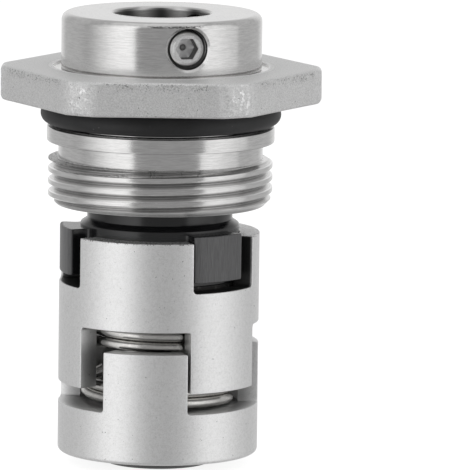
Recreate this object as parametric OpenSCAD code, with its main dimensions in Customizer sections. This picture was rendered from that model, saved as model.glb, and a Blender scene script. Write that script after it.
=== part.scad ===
// Cartridge mechanical seal for a 12 mm pump shaft, standing on the lower end of its shaft sleeve.
// The axis is Z, z = 0 is the lower end of the sleeve, and the front of the seal faces -Y.
// Azimuths are degrees to the right of the front, seen from the front.

/* [Shaft sleeve] */
// Bore that slides over the pump shaft
shaft_bore_d = 12.06; // [11.6:0.01:12.4]
// Outside of the thin tube that carries the rotating parts
tube_d = 14; // [13.6:0.05:14.4]
// Outside of the thick stretch of the sleeve inside the gland
step_d = 16.6; // [16.2:0.05:17.2]
// Length of the thick stretch, below the drive collar
step_l = 9; // [7:0.1:9.3]
// How far the tube stands out below the driver
tail_l = 1.35; // [1.1:0.05:2.5]
// Chamfer on the lower end of the tube
tail_chamfer = 0.5; // [0.2:0.05:0.6]
// Width across the two drive flats at the lower end of the tube
flats_w = 13.2; // [12.9:0.05:13.4]
// Chamfer of the bore at the top
bore_chamfer = 0.25; // [0.1:0.05:0.6]

/* [Drive collar] */
// Outside of the collar that the set screws clamp through
collar_d = 25; // [23.5:0.1:26]
// Height of the collar
collar_h = 7; // [6.6:0.05:10]
// Rounding of the collar's upper edge
collar_round = 1; // [0.3:0.1:1.6]
// Height of the screw axes above the underside of the collar
screw_lift = 3.7; // [3.4:0.05:4]

/* [Set screws] */
// Number of set screws round the collar
screw_count = 3; // [3:1:3]
// Azimuth of the first set screw
screw_az = 15.6; // [0:0.1:60]
// Thread diameter of a set screw
screw_d = 5; // [4:0.1:5.2]
// Depth of the screw's outer end below the collar's surface
screw_recess = 0.7; // [0.4:0.05:1.5]
// Distance from the screw's tip to the shaft bore at rest
screw_tip_gap = 0.8; // [0.5:0.05:1.2]
// Width across the flats of the hexagon socket
socket_af = 2.5; // [2:0.1:2.6]
// Depth of the hexagon socket
socket_depth = 2.2; // [1.5:0.1:2.6]
// Chamfer at both ends of a screw
screw_chamfer = 0.35; // [0.2:0.05:0.5]
// Countersink of the tapped holes, measured on the radius
hole_countersink = 0.3; // [0.1:0.05:0.5]

/* [Gland] */
// Outside diameter of the gland's thread
thread_d = 28; // [27.4:0.1:28.3]
// Length of the thread with its lower chamfer
thread_l = 5.66; // [5.2:0.02:8]
// Chamfer at the start of the thread
thread_chamfer = 1; // [0.4:0.1:1.2]
// Neck above the thread, where the threading tool ran out
neck_d = 25.5; // [25:0.1:26]
// Length of the neck
neck_l = 2.22; // [1:0.02:3]
// Land below the O-ring
land_d = 28.4; // [28.3:0.1:29]
// Length of the land
land_l = 1.83; // [1.2:0.01:3]
// Hexagon, width across the flats
hex_af = 36; // [34:0.5:38]
// Hexagon thickness
hex_t = 4.3; // [3.5:0.1:6]
// Rounding of the hexagon's corners
hex_round = 4.5; // [2:0.5:6]
// How far the corners are turned back from the sharp hexagon
hex_turned = 0.8; // [0.4:0.1:1.6]
// Chamfer of the turned corners
hex_chamfer = 0.5; // [0.2:0.1:1]
// Turn of the hexagon from flat to the front
hex_az = -1.1; // [-30:0.1:30]
// Depth of the recess that the collar's underside sits in
recess_depth = 0.25; // [0.1:0.05:0.8]
// Room round the collar inside the recess
recess_room = 1.03; // [0.5:0.01:1.2]
// Room round the thick stretch of the sleeve
step_room = 0.4; // [0.3:0.05:0.6]
// Wall of the gland between the stationary ring and the sleeve's thick stretch
throat_l = 3; // [2.5:0.1:3.2]

/* [Stationary ring] */
// Outside of the nose that carries the sealing face
seat_nose_d = 18.14; // [17.6:0.02:18.6]
// How far the sealing face stands below the gland
seat_proud = 1.79; // [1.2:0.01:2.5]
// Room round the ring's body inside the gland
seat_body_room = 0.12; // [0.09:0.01:0.2]
// How deep the start of the body lies inside the gland
seat_inset = 0.7; // [0.4:0.05:1]
// Length of the body
seat_body_l = 1.9; // [1.4:0.1:2]
// Outside of the spigot behind the body, inside its O-ring
seat_spigot_d = 17.8; // [17.4:0.1:18]
// Room round the tube inside the ring and the gland's throat
tube_room = 0.4; // [0.3:0.05:0.5]
// Wall of the spigot either side of the pin that stops the ring from turning
pin_wall = 0.25; // [0.2:0.05:0.35]
// Length of the pin
pin_l = 3; // [2.4:0.1:3.4]
// Azimuth of the pin
pin_az = 180; // [90:1:270]

/* [Rotating ring] */
// Play round the ring inside the torque sleeve
ring_play = 0.1; // [0.05:0.01:0.2]
// Length of the conical nose, up to the sealing face
nose_l = 0.6; // [0.3:0.05:1]
// Number of drive lugs on the ring, slots and tabs
drive_count = 3; // [3:1:3]
// Azimuth of the first lug
lug_az = 38.6; // [30:0.1:50]
// Angle that a lug spans
lug_span = 35.6; // [30:0.1:40]
// How far the lugs lie inside the torque sleeve's outside
lug_inset = 0.05; // [0:0.05:0.4]
// Rounding of the lugs' outer edges
lug_round = 0.6; // [0.2:0.1:0.8]
// Height of the lugs
lug_h = 5.7; // [4.5:0.05:5.8]
// Height of the lugs' underside above the ring's back
lug_lift = 0.84; // [0.4:0.02:1.2]
// Step from the top of the lugs up to the nose
lug_drop = 0.35; // [0.15:0.05:0.6]
// Room round the tube inside the ring
ring_room = 0.3; // [0.25:0.05:0.5]
// Thickness of the thrust ring behind the rotating ring
thrust_t = 0.5; // [0.4:0.05:1]

/* [Torque sleeve] */
// Outside of the torque sleeve and of the driver
drum_d = 25; // [24.6:0.1:26]
// Inside of both
drum_bore_d = 20; // [19.94:0.02:20.4]
// Length of the legs below the web
leg_l = 7.7; // [7:0.05:9]
// Thickness of the web that the spring pushes on
web_t = 4.81; // [3:0.01:6]
// Length of the prongs above the web
prong_l = 6.29; // [5:0.01:7]
// Azimuth that a lower slot spans
lower_slot_span = 69.3; // [64:0.1:74]
// Azimuth that an upper slot spans
upper_slot_span = 48; // [44:0.1:52]
// Play on the driving side of the lugs, in degrees
lug_play = 0.65; // [0.4:0.05:2]
// Rounding in the corners of the slots
slot_round = 0.5; // [0.3:0.1:0.8]

/* [Driver] */
// Height of the driver below its tabs
driver_h = 6.34; // [5.5:0.02:8]
// Height of the tabs
tab_h = 7.56; // [6:0.02:7.6]
// Azimuth of the first tab
tab_az = -7.9; // [-15:0.1:0]
// Angle that a tab spans
tab_span = 50.3; // [44:0.1:52]
// Play on the driving side of the tabs, in degrees
tab_play = 1.8; // [0.6:0.1:3]
// Rounding at the foot of the tabs
tab_root_round = 0.4; // [0.3:0.1:0.8]
// Rounding of the driver's lower edge
driver_round = 0.6; // [0.2:0.1:1.2]
// Gap between the torque sleeve's legs and the driver at rest
closing_gap = 2.61; // [1.5:0.01:3]
// Wire of the snap ring below the driver
snap_wire_d = 1; // [0.8:0.05:1.1]
// Depth of the snap ring's groove in the tube
snap_groove_depth = 0.4; // [0.3:0.02:0.45]
// Depth that hides the snap ring below the driver
snap_recess = 1.5; // [1.2:0.1:2.5]
// Opening between the ends of the snap ring, in degrees
snap_gap_angle = 30; // [15:1:60]

/* [Spring] */
// Wire of the spring
wire_d = 1.35; // [1.1:0.05:1.4]
// Room between the spring and the torque sleeve's wall
spring_room = 0.37; // [0.3:0.01:0.8]
// Turns from end to end
spring_turns = 3.375; // [3:0.125:4]
// Turns that lie close together at the top
close_turns = 0.9; // [0.8:0.05:1.2]
// Turns that carry the travel
active_turns = 0.95; // [0.9:0.05:1.2]
// Azimuth of the wire's upper end
spring_az = -55; // [-180:1:180]
// Gap between turns that lie close together
coil_gap = 0.05; // [0.03:0.01:0.15]

/* [Seals] */
// Section of the large O-ring under the hexagon
gland_ring_w = 2.5; // [2.2:0.05:2.8]
// Outside of the large O-ring
gland_ring_od = 30; // [29.4:0.1:30.6]
// Section of the O-ring between the tube and the rotating ring
rotating_o_w = 1.9; // [1.6:0.05:1.95]
// Section of the O-ring behind the stationary ring
seat_o_w = 1.75; // [1.5:0.05:1.8]
// Section of the O-ring inside the shaft sleeve
shaft_o_w = 1.35; // [1.2:0.05:1.4]
// Height of the sleeve's O-ring above the lower end of the thick stretch
shaft_o_lift = 4; // [3:0.1:6]

/* [Fits] */
// Clearance between pieces that are fitted together
fit = 0.03; // [0.02:0.01:0.04]
// Side room of an O-ring in its groove, in all
groove_room = 0.7; // [0.4:0.05:1]
// Slack between the screws and their tapped holes
thread_fit = 0.05; // [0.03:0.01:0.08]

/* [Hidden] */

steel = [0.78, 0.78, 0.79];
cast_steel = [0.68, 0.68, 0.69];
carbide = [0.13, 0.13, 0.14];
rubber = [0.07, 0.07, 0.08];
wire_steel = [0.82, 0.82, 0.84];

// A little more than nothing, so that cuts pass right through
over = 1;

// Radii
bore_r = shaft_bore_d / 2;
tube_r = tube_d / 2;
step_r = step_d / 2;
collar_r = collar_d / 2;
drum_r = drum_d / 2;
drum_bore_r = drum_bore_d / 2;
ring_r = drum_bore_r - ring_play;
ring_bore_r = tube_r + ring_room;
seat_bore_r = tube_r + tube_room;
seat_nose_r = seat_nose_d / 2;
seat_spigot_r = seat_spigot_d / 2;
gland_bore_r = step_r + step_room;
recess_r = collar_r + recess_room;
screw_r = screw_d / 2;
screw_hole_r = screw_r + thread_fit;
rotating_o_r = tube_r + fit + rotating_o_w / 2;
rotating_pocket_r = rotating_o_r + rotating_o_w / 2 + fit;
seat_o_r = seat_spigot_r + fit + seat_o_w / 2;
seat_pocket_r = seat_o_r + seat_o_w / 2 + fit;
seat_body_r = seat_pocket_r - seat_body_room;
shaft_o_r = bore_r + fit + shaft_o_w / 2;
shaft_groove_r = shaft_o_r + shaft_o_w / 2 + fit;
gland_ring_r = (gland_ring_od - gland_ring_w) / 2;
gland_groove_r = gland_ring_r - gland_ring_w / 2 - fit;
snap_r = tube_r - snap_groove_depth + fit + snap_wire_d / 2;
snap_pocket_r = snap_r + snap_wire_d / 2 + 10 * fit;
spring_r = drum_bore_r - spring_room - wire_d / 2;
pin_r = (seat_spigot_r - seat_bore_r) / 2 - pin_wall;
pin_ring_r = (seat_bore_r + seat_spigot_r) / 2;

// Heights, from the lower end upwards
z_driver = tail_l;
z_rim = z_driver + driver_h;
z_tab = z_rim + tab_h;
z_leg = z_rim + closing_gap;
z_web = z_leg + leg_l;
z_cup = z_web + web_t;
z_prong = z_cup + prong_l;
z_ring = z_cup + thrust_t;
z_lug = z_ring + lug_lift;
z_lug_top = z_lug + lug_h;
z_shoulder = z_lug_top + lug_drop;
z_face = z_shoulder + nose_l;
z_gland = z_face + seat_proud;
z_thread = z_gland + thread_l;
z_neck = z_thread + neck_l;
z_land = z_neck + land_l;
z_hex = z_land + gland_ring_w + groove_room;
z_hex_top = z_hex + hex_t;
z_collar = z_hex_top - recess_depth;
z_top = z_collar + collar_h;
z_step = z_collar - step_l;
z_screw = z_collar + screw_lift;
z_snap = z_driver + snap_recess - snap_wire_d / 2 - fit;
z_seat_body = z_gland + seat_inset;
z_seat_spigot = z_seat_body + seat_body_l;
z_seat_back = z_seat_spigot + seat_o_w + 2 * fit;
z_throat = z_seat_back + throat_l;
z_pin = z_seat_back - pin_l / 2;
z_shaft_o = z_step + shaft_o_lift;

// Azimuths of the slots, from the tabs and lugs that drive through them
lower_slot_az = tab_az + tab_span / 2 + tab_play - lower_slot_span / 2;
upper_slot_az = lug_az - lug_span / 2 - lug_play + upper_slot_span / 2;
lug_r = drum_r - lug_inset;
// Half angle of a lug's face between the rounded edges
lug_cap_half = lug_span / 2 - asin(lug_round / (lug_r - lug_round));

// Set screws: both ends follow the collar and the bore
screw_out_r = collar_r - screw_recess;
screw_in_r = bore_r + screw_tip_gap;
screw_l = screw_out_r - screw_in_r;

// Hexagon: distance from the axis to the turned corners
hex_corner_r = (hex_af / 2) / cos(30) - hex_turned;

$fn = 96;

// Turns a shape that is drawn facing +X to an azimuth
module at_azimuth(a) {
    rotate([0, 0, a - 90]) children();
}

// Copies children to the places of the drive tabs, slots or lugs
module drive_places(a) {
    for (i = [0 : drive_count - 1]) at_azimuth(a + i * 360 / drive_count) children();
}

// A ring with a plain rectangular section
module ring_between(r_in, r_out, z_low, z_high) {
    translate([0, 0, z_low]) difference() {
        cylinder(r = r_out, h = z_high - z_low);
        translate([0, 0, -over]) cylinder(r = r_in, h = z_high - z_low + 2 * over);
    }
}

// A hole along the axis from z_low to z_high
module axial_hole(r, z_low, z_high) {
    translate([0, 0, z_low]) cylinder(r = r, h = z_high - z_low);
}

// An O-ring or a ring of round wire, centred at radius r and height z
module torus(r, z, w) {
    translate([0, 0, z]) rotate_extrude() translate([r, 0]) circle(d = w, $fn = 48);
}

// Wedge-shaped cutter with rounded edges along its floor or its ceiling, open at its other end.
// Its sides lie half_span either side of +X where they reach radius r_edge.
module slot_cutter(half_span, z_closed, z_open, round_r, r_edge) {
    lean = half_span - asin(round_r / r_edge);
    toward = z_open > z_closed ? 1 : -1;
    hull() for (side = [-1, 1]) for (z = [z_closed + toward * round_r, z_open])
        rotate([0, 0, side * lean]) translate([0, 0, z]) rotate([0, 90, 0])
            translate([0, 0, ring_bore_r + over]) cylinder(r = round_r, h = r_edge, $fn = 32);
}

// One turned body of the shaft sleeve: tube, thick stretch and collar with a rounded upper edge
module sleeve_profile() {
    polygon([[0, 0], [tube_r - tail_chamfer, 0], [tube_r, tail_chamfer], [tube_r, z_step],
             [step_r, z_step + step_r - tube_r], [step_r, z_collar], [0, z_collar]]);
    difference() {
        translate([0, z_collar - over / 2]) square([collar_r, collar_h + over / 2]);
        translate([step_r, z_collar - over]) square([collar_r, over]);
        translate([collar_r - collar_round, z_top - collar_round]) difference() {
            square(collar_round + over);
            circle(collar_round);
        }
    }
}

// Radial tapped hole, drawn along +X, with its countersink in the collar's surface
module screw_hole() {
    translate([0, 0, z_screw]) rotate([0, 90, 0]) {
        cylinder(r = screw_hole_r, h = collar_r + over);
        translate([0, 0, collar_r - hole_countersink])
            cylinder(r1 = screw_hole_r, r2 = screw_hole_r + hole_countersink + over,
                     h = hole_countersink + over);
    }
}

// Both flats at the lower end of the tube, as a cutter
module drive_flats(w, z_high) {
    for (side = [-1, 1]) translate([side * (w / 2 + over), 0, z_high / 2])
        cube([2 * over, 2 * tube_d, z_high + 2 * fit], center = true);
}

module shaft_sleeve() {
    color(steel) difference() {
        rotate_extrude() sleeve_profile();
        axial_hole(bore_r, -over, z_top + over);
        translate([0, 0, z_top - bore_chamfer])
            cylinder(r1 = bore_r, r2 = bore_r + bore_chamfer + over, h = bore_chamfer + over);
        axial_hole(shaft_groove_r, z_shaft_o - shaft_o_w / 2 - groove_room / 2,
                   z_shaft_o + shaft_o_w / 2 + groove_room / 2);
        ring_between(tube_r - snap_groove_depth, tube_r + over,
                     z_snap - snap_wire_d / 2 - fit, z_snap + snap_wire_d / 2 + fit);
        translate([0, 0, -fit]) drive_flats(flats_w, z_rim);
        for (i = [0 : screw_count - 1]) at_azimuth(screw_az + i * 360 / screw_count) screw_hole();
    }
}

module seal_driver() {
    color(steel) difference() {
        rotate_extrude() difference() {
            translate([0, z_driver]) square([drum_r, z_tab - z_driver]);
            translate([drum_r - driver_round, z_driver + driver_round]) difference() {
                translate([0, -driver_round - over]) square(driver_round + over);
                circle(driver_round);
            }
        }
        axial_hole(drum_bore_r, z_rim, z_tab + over);
        difference() {
            axial_hole(tube_r + fit, 0, z_tab);
            drive_flats(flats_w + 2 * fit, z_tab * 2);
        }
        axial_hole(snap_pocket_r, 0, z_driver + snap_recess);
        drive_places(tab_az + 180 / drive_count)
            slot_cutter(180 / drive_count - tab_span / 2, z_rim, z_tab + over, tab_root_round, drum_r);
    }
}

module retaining_ring() {
    color(wire_steel) translate([0, 0, z_snap]) rotate([0, 0, 90 + snap_gap_angle / 2])
        rotate_extrude(angle = 360 - snap_gap_angle) translate([snap_r, 0])
            circle(d = snap_wire_d, $fn = 48);
}

module shaft_o_ring() {
    color(rubber) torus(shaft_o_r, z_shaft_o, shaft_o_w);
}

// Height lost along the spring's wire after t turns from its upper end: the close turns at both
// ends drop by the wire and its gap, and the active turns between them take up the rest
close_pitch = wire_d + coil_gap;
spring_drop = z_web - z_rim - wire_d - 2 * fit;
open_drop = spring_drop - close_pitch * spring_turns;
function ease(u) = u <= 0 ? 0 : u >= 1 ? 1 : u * u * (3 - 2 * u);
function drop_at(t) = close_pitch * t + open_drop * ease((t - close_turns) / active_turns);

// The centre line of the wire, left-hand wound, and the section carried along it
function wire_point(t) =
    let (a = spring_az - 90 + 360 * t)
    [spring_r * cos(a), spring_r * sin(a), z_web - fit - wire_d / 2 - drop_at(t)];
function unit(v) = v / norm(v);
function wire_ring(t, sides) =
    let (c = wire_point(t),
         along = unit(wire_point(t + 0.002) - wire_point(t - 0.002)),
         outward = unit([c[0], c[1], 0]),
         side = unit(outward - (outward * along) * along),
         up = cross(along, side))
    [for (k = [0 : sides - 1]) c + wire_d / 2 * (cos(360 * k / sides) * side + sin(360 * k / sides) * up)];

module spring() {
    sides = 12;
    steps = ceil(spring_turns * 36);
    points = [for (i = [0 : steps]) each wire_ring(spring_turns * i / steps, sides)];
    walls = [for (i = [0 : steps - 1]) for (k = [0 : sides - 1])
        let (a = i * sides + k, b = i * sides + (k + 1) % sides) [a, b, b + sides, a + sides]];
    caps = [[for (k = [sides - 1 : -1 : 0]) k], [for (k = [0 : sides - 1]) steps * sides + k]];
    color(wire_steel) polyhedron(points = points, faces = concat(walls, caps), convexity = 8);
}

module torque_sleeve() {
    color(steel) difference() {
        axial_hole(drum_r, z_leg, z_prong);
        axial_hole(drum_bore_r, z_cup, z_prong + over);
        axial_hole(drum_bore_r, z_leg - over, z_web);
        axial_hole(ring_bore_r, z_leg, z_prong);
        drive_places(upper_slot_az)
            slot_cutter(upper_slot_span / 2, z_cup, z_prong + over, slot_round, drum_r);
        drive_places(lower_slot_az)
            slot_cutter(lower_slot_span / 2, z_web, z_leg - over, slot_round, drum_r);
    }
}

module thrust_ring() {
    color(wire_steel) ring_between(ring_bore_r, ring_r, z_cup, z_ring);
}

// One lug in plan, along +X: radial sides, rounded outer edges and a face on the drum's radius
module lug_plan() {
    corner_r = lug_r - lug_round;
    corner_a = lug_span / 2 - asin(lug_round / corner_r);
    hull() {
        for (side = [-1, 1]) rotate([0, 0, side * corner_a]) translate([corner_r, 0])
            circle(lug_round, $fn = 32);
        for (side = [-1, 1]) rotate([0, 0, side * (lug_span / 2)]) translate([ring_bore_r + over, 0])
            rotate([0, 0, -side * 90]) translate([0.2, 0]) circle(0.2, $fn = 16);
    }
}

module rotating_ring() {
    color(carbide) difference() {
        union() {
            rotate_extrude() polygon([[ring_bore_r - over, z_ring], [ring_r, z_ring],
                [ring_r, z_shoulder], [seat_nose_r, z_face], [ring_bore_r - over, z_face]]);
            translate([0, 0, z_lug]) drive_places(lug_az) {
                linear_extrude(lug_h) lug_plan();
                linear_extrude(lug_h) intersection() {
                    circle(lug_r);
                    polygon([[0, 0],
                        for (side = [-1, 1]) 2 * lug_r * [cos(lug_cap_half), side * sin(lug_cap_half)]]);
                }
            }
        }
        axial_hole(ring_bore_r, z_ring - over, z_face + over);
        axial_hole(rotating_pocket_r, z_ring - over, z_ring + rotating_o_w + groove_room / 2);
    }
}

module rotating_o_ring() {
    color(rubber) torus(rotating_o_r, z_ring + fit + rotating_o_w / 2, rotating_o_w);
}

// Hexagon with rounded, turned and chamfered corners
module hexagon() {
    corner = (hex_af / 2 - hex_round) / cos(30);
    intersection() {
        translate([0, 0, z_hex]) at_azimuth(hex_az) hull() for (i = [0 : 5])
            rotate([0, 0, 30 + 60 * i]) translate([corner, 0, 0])
                cylinder(r = hex_round, h = hex_t, $fn = 72);
        rotate_extrude() polygon([[0, z_hex - over], [hex_corner_r - hex_chamfer - over, z_hex - over],
            [hex_corner_r, z_hex + hex_chamfer], [hex_corner_r, z_hex_top - hex_chamfer],
            [hex_corner_r - hex_chamfer - over, z_hex_top + over], [0, z_hex_top + over]]);
    }
}

module gland() {
    thread_r = thread_d / 2;
    color(cast_steel) difference() {
        union() {
            rotate_extrude() polygon([[0, z_gland], [thread_r - thread_chamfer, z_gland],
                [thread_r, z_gland + thread_chamfer], [thread_r, z_thread], [neck_d / 2, z_thread],
                [neck_d / 2, z_neck], [land_d / 2, z_neck], [land_d / 2, z_land],
                [gland_groove_r, z_land], [gland_groove_r, z_hex + over], [0, z_hex + over]]);
            hexagon();
        }
        axial_hole(recess_r, z_collar, z_hex_top + over);
        axial_hole(gland_bore_r, z_throat, z_hex_top + over);
        axial_hole(seat_bore_r, z_gland, z_hex_top);
        axial_hole(seat_pocket_r, z_gland - over, z_seat_back);
        at_azimuth(pin_az) translate([pin_ring_r, 0, 0])
            axial_hole(pin_r + fit, z_seat_back - over, z_pin + pin_l + fit);
    }
}

module gland_o_ring() {
    color(rubber) torus(gland_ring_r, (z_land + z_hex) / 2, gland_ring_w);
}

module stationary_ring() {
    color(carbide) difference() {
        rotate_extrude() polygon([[seat_bore_r, z_face], [seat_nose_r, z_face],
            [seat_nose_r, z_seat_body], [seat_body_r, z_seat_body], [seat_body_r, z_seat_spigot],
            [seat_spigot_r, z_seat_spigot], [seat_spigot_r, z_seat_back], [seat_bore_r, z_seat_back]]);
        at_azimuth(pin_az) translate([seat_spigot_r, 0, (z_pin + z_seat_back) / 2 - 2 * fit])
            cube([2 * (seat_spigot_r - seat_bore_r) + over, 2 * pin_r + 4 * fit,
                  z_seat_back - z_pin + 8 * fit], center = true);
    }
}

module stationary_o_ring() {
    color(rubber) torus(seat_o_r, z_seat_spigot + fit + seat_o_w / 2, seat_o_w);
}

module anti_rotation_pin() {
    color(wire_steel) at_azimuth(pin_az) translate([pin_ring_r, 0, 0])
        axial_hole(pin_r, z_pin, z_pin + pin_l);
}

// A headless screw along +X with a hexagon socket in its outer end and a cup at its tip
module set_screw(place) {
    socket_r = socket_af / 2 / cos(30);
    color(wire_steel) at_azimuth(screw_az + (place - 1) * 360 / screw_count)
        translate([screw_in_r, 0, z_screw]) rotate([0, 90, 0]) difference() {
            rotate_extrude() polygon([[0, 0], [screw_r - 2 * screw_chamfer, 0],
                [screw_r, 2 * screw_chamfer], [screw_r, screw_l - screw_chamfer],
                [screw_r - screw_chamfer, screw_l], [0, screw_l]]);
            translate([0, 0, screw_l - socket_depth])
                rotate([0, 0, 30]) cylinder(r = socket_r, h = socket_depth + over, $fn = 6);
            translate([0, 0, screw_l - socket_depth - socket_r / 3])
                cylinder(r1 = 0, r2 = socket_af / 2, h = socket_r / 3 + 0.01);
            translate([0, 0, -over])
                cylinder(r1 = screw_r / 2 + over, r2 = 0, h = screw_r / 2 + over);
        }
}

module set_screw_1() { set_screw(1); }
module set_screw_2() { set_screw(2); }
module set_screw_3() { set_screw(3); }

shaft_sleeve();
seal_driver();
retaining_ring();
shaft_o_ring();
spring();
torque_sleeve();
thrust_ring();
rotating_ring();
rotating_o_ring();
gland();
gland_o_ring();
stationary_ring();
stationary_o_ring();
anti_rotation_pin();
set_screw_1();
set_screw_2();
set_screw_3();
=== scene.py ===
"""Looks of a cartridge mechanical seal, laid out as an add-on and run as a script.

All sizes inside the shape functions are millimetres, and are made metres when a mesh is built.
Azimuths are degrees to the right of the front, seen from the front, which faces -Y.
"""

import math

import bmesh
import bpy
import numpy as np
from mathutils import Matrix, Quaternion, Vector


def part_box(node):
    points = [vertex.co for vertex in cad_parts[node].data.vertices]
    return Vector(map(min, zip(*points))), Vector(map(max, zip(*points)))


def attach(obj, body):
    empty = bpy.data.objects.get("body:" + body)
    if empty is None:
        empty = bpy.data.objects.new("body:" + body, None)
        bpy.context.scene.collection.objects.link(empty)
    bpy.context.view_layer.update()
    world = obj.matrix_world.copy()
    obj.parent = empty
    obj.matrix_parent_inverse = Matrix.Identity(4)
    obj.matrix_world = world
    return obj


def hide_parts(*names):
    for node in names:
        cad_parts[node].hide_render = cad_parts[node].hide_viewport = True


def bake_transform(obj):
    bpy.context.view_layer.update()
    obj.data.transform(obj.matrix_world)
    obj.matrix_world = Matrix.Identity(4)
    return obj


bl_info = {
    "name": "Cartridge mechanical seal",
    "version": (1, 0, 0),
    "blender": (4, 5, 0),
    "location": "3D View > Sidebar > Seal",
    "description": "Builds the detailed pieces, finishes and studio of a cartridge mechanical seal",
    "category": "Object",
}

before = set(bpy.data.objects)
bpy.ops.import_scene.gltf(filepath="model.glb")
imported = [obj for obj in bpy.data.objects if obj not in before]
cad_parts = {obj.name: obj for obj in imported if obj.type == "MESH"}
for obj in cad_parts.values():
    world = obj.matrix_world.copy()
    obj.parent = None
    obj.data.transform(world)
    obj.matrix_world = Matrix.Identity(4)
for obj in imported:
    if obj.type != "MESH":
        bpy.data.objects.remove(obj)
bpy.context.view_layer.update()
# Millimetres in a metre
PER_METRE = 1000
# Points nearer than this, in metres, are merged when a mesh is built
MERGE_WITHIN = 2e-7


def level(node, end):
    """Height in millimetres of a CAD node's lower (0) or upper (1) end."""
    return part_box(node)[end].z * PER_METRE


# Heights of the main faces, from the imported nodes
Z_TOP = level("shaft_sleeve", 1)
Z_GLAND = level("gland", 0)
Z_HEX_TOP = level("gland", 1)
Z_DRIVER = level("seal_driver", 0)
Z_TAB = level("seal_driver", 1)
Z_LEG = level("torque_sleeve", 0)
Z_PRONG = level("torque_sleeve", 1)
Z_RING = level("rotating_ring", 0)
Z_FACE = level("rotating_ring", 1)
Z_SEAT_BACK = level("stationary_ring", 1)
Z_WIRE_LOW = level("spring", 0)
Z_WIRE_HIGH = level("spring", 1)
Z_GLAND_RING = (level("gland_o_ring", 0) + level("gland_o_ring", 1)) / 2
# Heights that no node ends at
Z_RIM = Z_WIRE_LOW - 0.03
Z_WEB = Z_WIRE_HIGH + 0.03
Z_CUP = level("thrust_ring", 0)
Z_MID_WEB = 21
Z_COLLAR = Z_HEX_TOP - 0.25
HEX_THICKNESS = 4.3
Z_HEX = Z_HEX_TOP - HEX_THICKNESS
Z_LAND = Z_HEX - 3.2
Z_NECK = Z_LAND - 1.83
Z_THREAD = Z_NECK - 2.22
Z_THROAT = 40
Z_STEP = Z_COLLAR - 9
Z_SCREW = Z_COLLAR + 3.7
Z_SEAT_BODY = 33.29
Z_SHOULDER = Z_FACE - 0.6
Z_LUG = Z_RING + 0.84
Z_LUG_TOP = Z_LUG + 5.7
# Grooves in the sleeve for the snap ring and for the O-ring on the shaft, lower and upper side
SNAP_GROOVE = (1.8, 2.85)
SHAFT_GROOVE = (43.53, 45.57)
# Radii of the sleeve, its collar and its grooves
R_BORE = 6.03
R_TUBE = 7.0
R_STEP = 8.3
R_COLLAR = 12.5
COLLAR_ROUND = 1
R_SNAP_GROOVE = 6.6
R_SHAFT_GROOVE = R_BORE + 1.41
# Radii of the gland and of the rings in it
R_THREAD = 14
R_NECK = 12.75
R_LAND = 14.2
R_GROOVE = 12.47
R_RECESS = R_COLLAR + 1.03
R_THROAT = 8.7
R_TUBE_ROOM = 7.4
R_SEAT = 10.6
R_SEAT_BORE = 10.75
R_TURNED_CORNER = 19.985
# Radii of the drive sleeves, the rotating ring and the spring
R_DRUM = 12.5
R_DRUM_BORE = 10.0
R_WEB_HOLE = 7.3
R_DRIVER_HOLE = 7.03
R_SNAP_RECESS = 7.93
R_RING = 9.9
R_RING_NOSE = 9.09
R_LUG = 12.45
R_SPRING = 8.955
R_WIRE = 0.675
# Half the width across flats: on the tube, in the driver's hole, and of the hexagon
TUBE_FLAT = 6.6
DRIVER_FLAT = 6.63
HEX_FLAT = 18
HEX_ROUND = 4.5
HEX_AZ = -1.1
# Thread of the gland: pitch, and the height of a crest at the front
PITCH = 1.5
Z_CREST = 37.235
# Set screws and their holes
SCREW_PITCH = 0.8
R_SCREW = 2.5
R_HOLE = 2.55
R_HOLE_MOUTH = 2.85
HOLE_SINK = 0.3
SOCKET_FLAT = 1.25
# Roundings of the drive sleeves: wall edges, slot floors, tips of the teeth
WALL_EDGE = 0.11
FLOOR_ROUND = 0.5
TIP_ROUND = 0.16
# Three of each round the axis, and the azimuths of the first ones with the angles they span
THIRD = 120
LUG_AZ, LUG_SPAN = 38.6, 35.6
UPPER_AZ, UPPER_SPAN = 44.15, 48.0
LOWER_AZ, LOWER_SPAN = -15.6, 69.3
TAB_AZ, TAB_SPAN = -7.9, 50.3
SCREW_AZ = 15.6


def around(radius, azimuth, z):
    """Points at a radius, an azimuth in degrees and a height; the three are broadcast together."""
    radius, azimuth, z = np.broadcast_arrays(radius, azimuth, z)
    angle = np.radians(azimuth)
    return np.stack([radius * np.sin(angle), -radius * np.cos(angle), z], axis=-1)


def closed_profile(corners, radii, steps, spacing):
    """Polygon with rounded corners: at each corner an arc of the given radius touches both sides,
    point = centre + (sin((1 - turn) * sweep) * first + sin(turn * sweep) * last) / sin(sweep)."""
    corners, radii = np.array(corners), np.array(radii)
    back, ahead = np.roll(corners, 1, 0) - corners, np.roll(corners, -1, 0) - corners
    back /= np.linalg.norm(back, axis=1, keepdims=True)
    ahead /= np.linalg.norm(ahead, axis=1, keepdims=True)
    half = np.arccos((back * ahead).sum(1)) / 2
    reach = (radii / np.tan(half))[:, None]
    middle = back + ahead
    middle /= np.linalg.norm(middle, axis=1, keepdims=True)
    centre = corners + middle * (radii / np.sin(half))[:, None]
    turn = np.linspace(0, 1, steps + 1)[None, :, None]
    first = (corners + back * reach - centre)[:, None]
    last = (corners + ahead * reach - centre)[:, None]
    sweep = (math.pi - 2 * half)[:, None, None]
    arc = (np.sin((1 - turn) * sweep) * first + np.sin(turn * sweep) * last) / np.sin(sweep)
    return refine((centre[:, None] + arc).reshape(-1, 2), spacing, closed=True)


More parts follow.
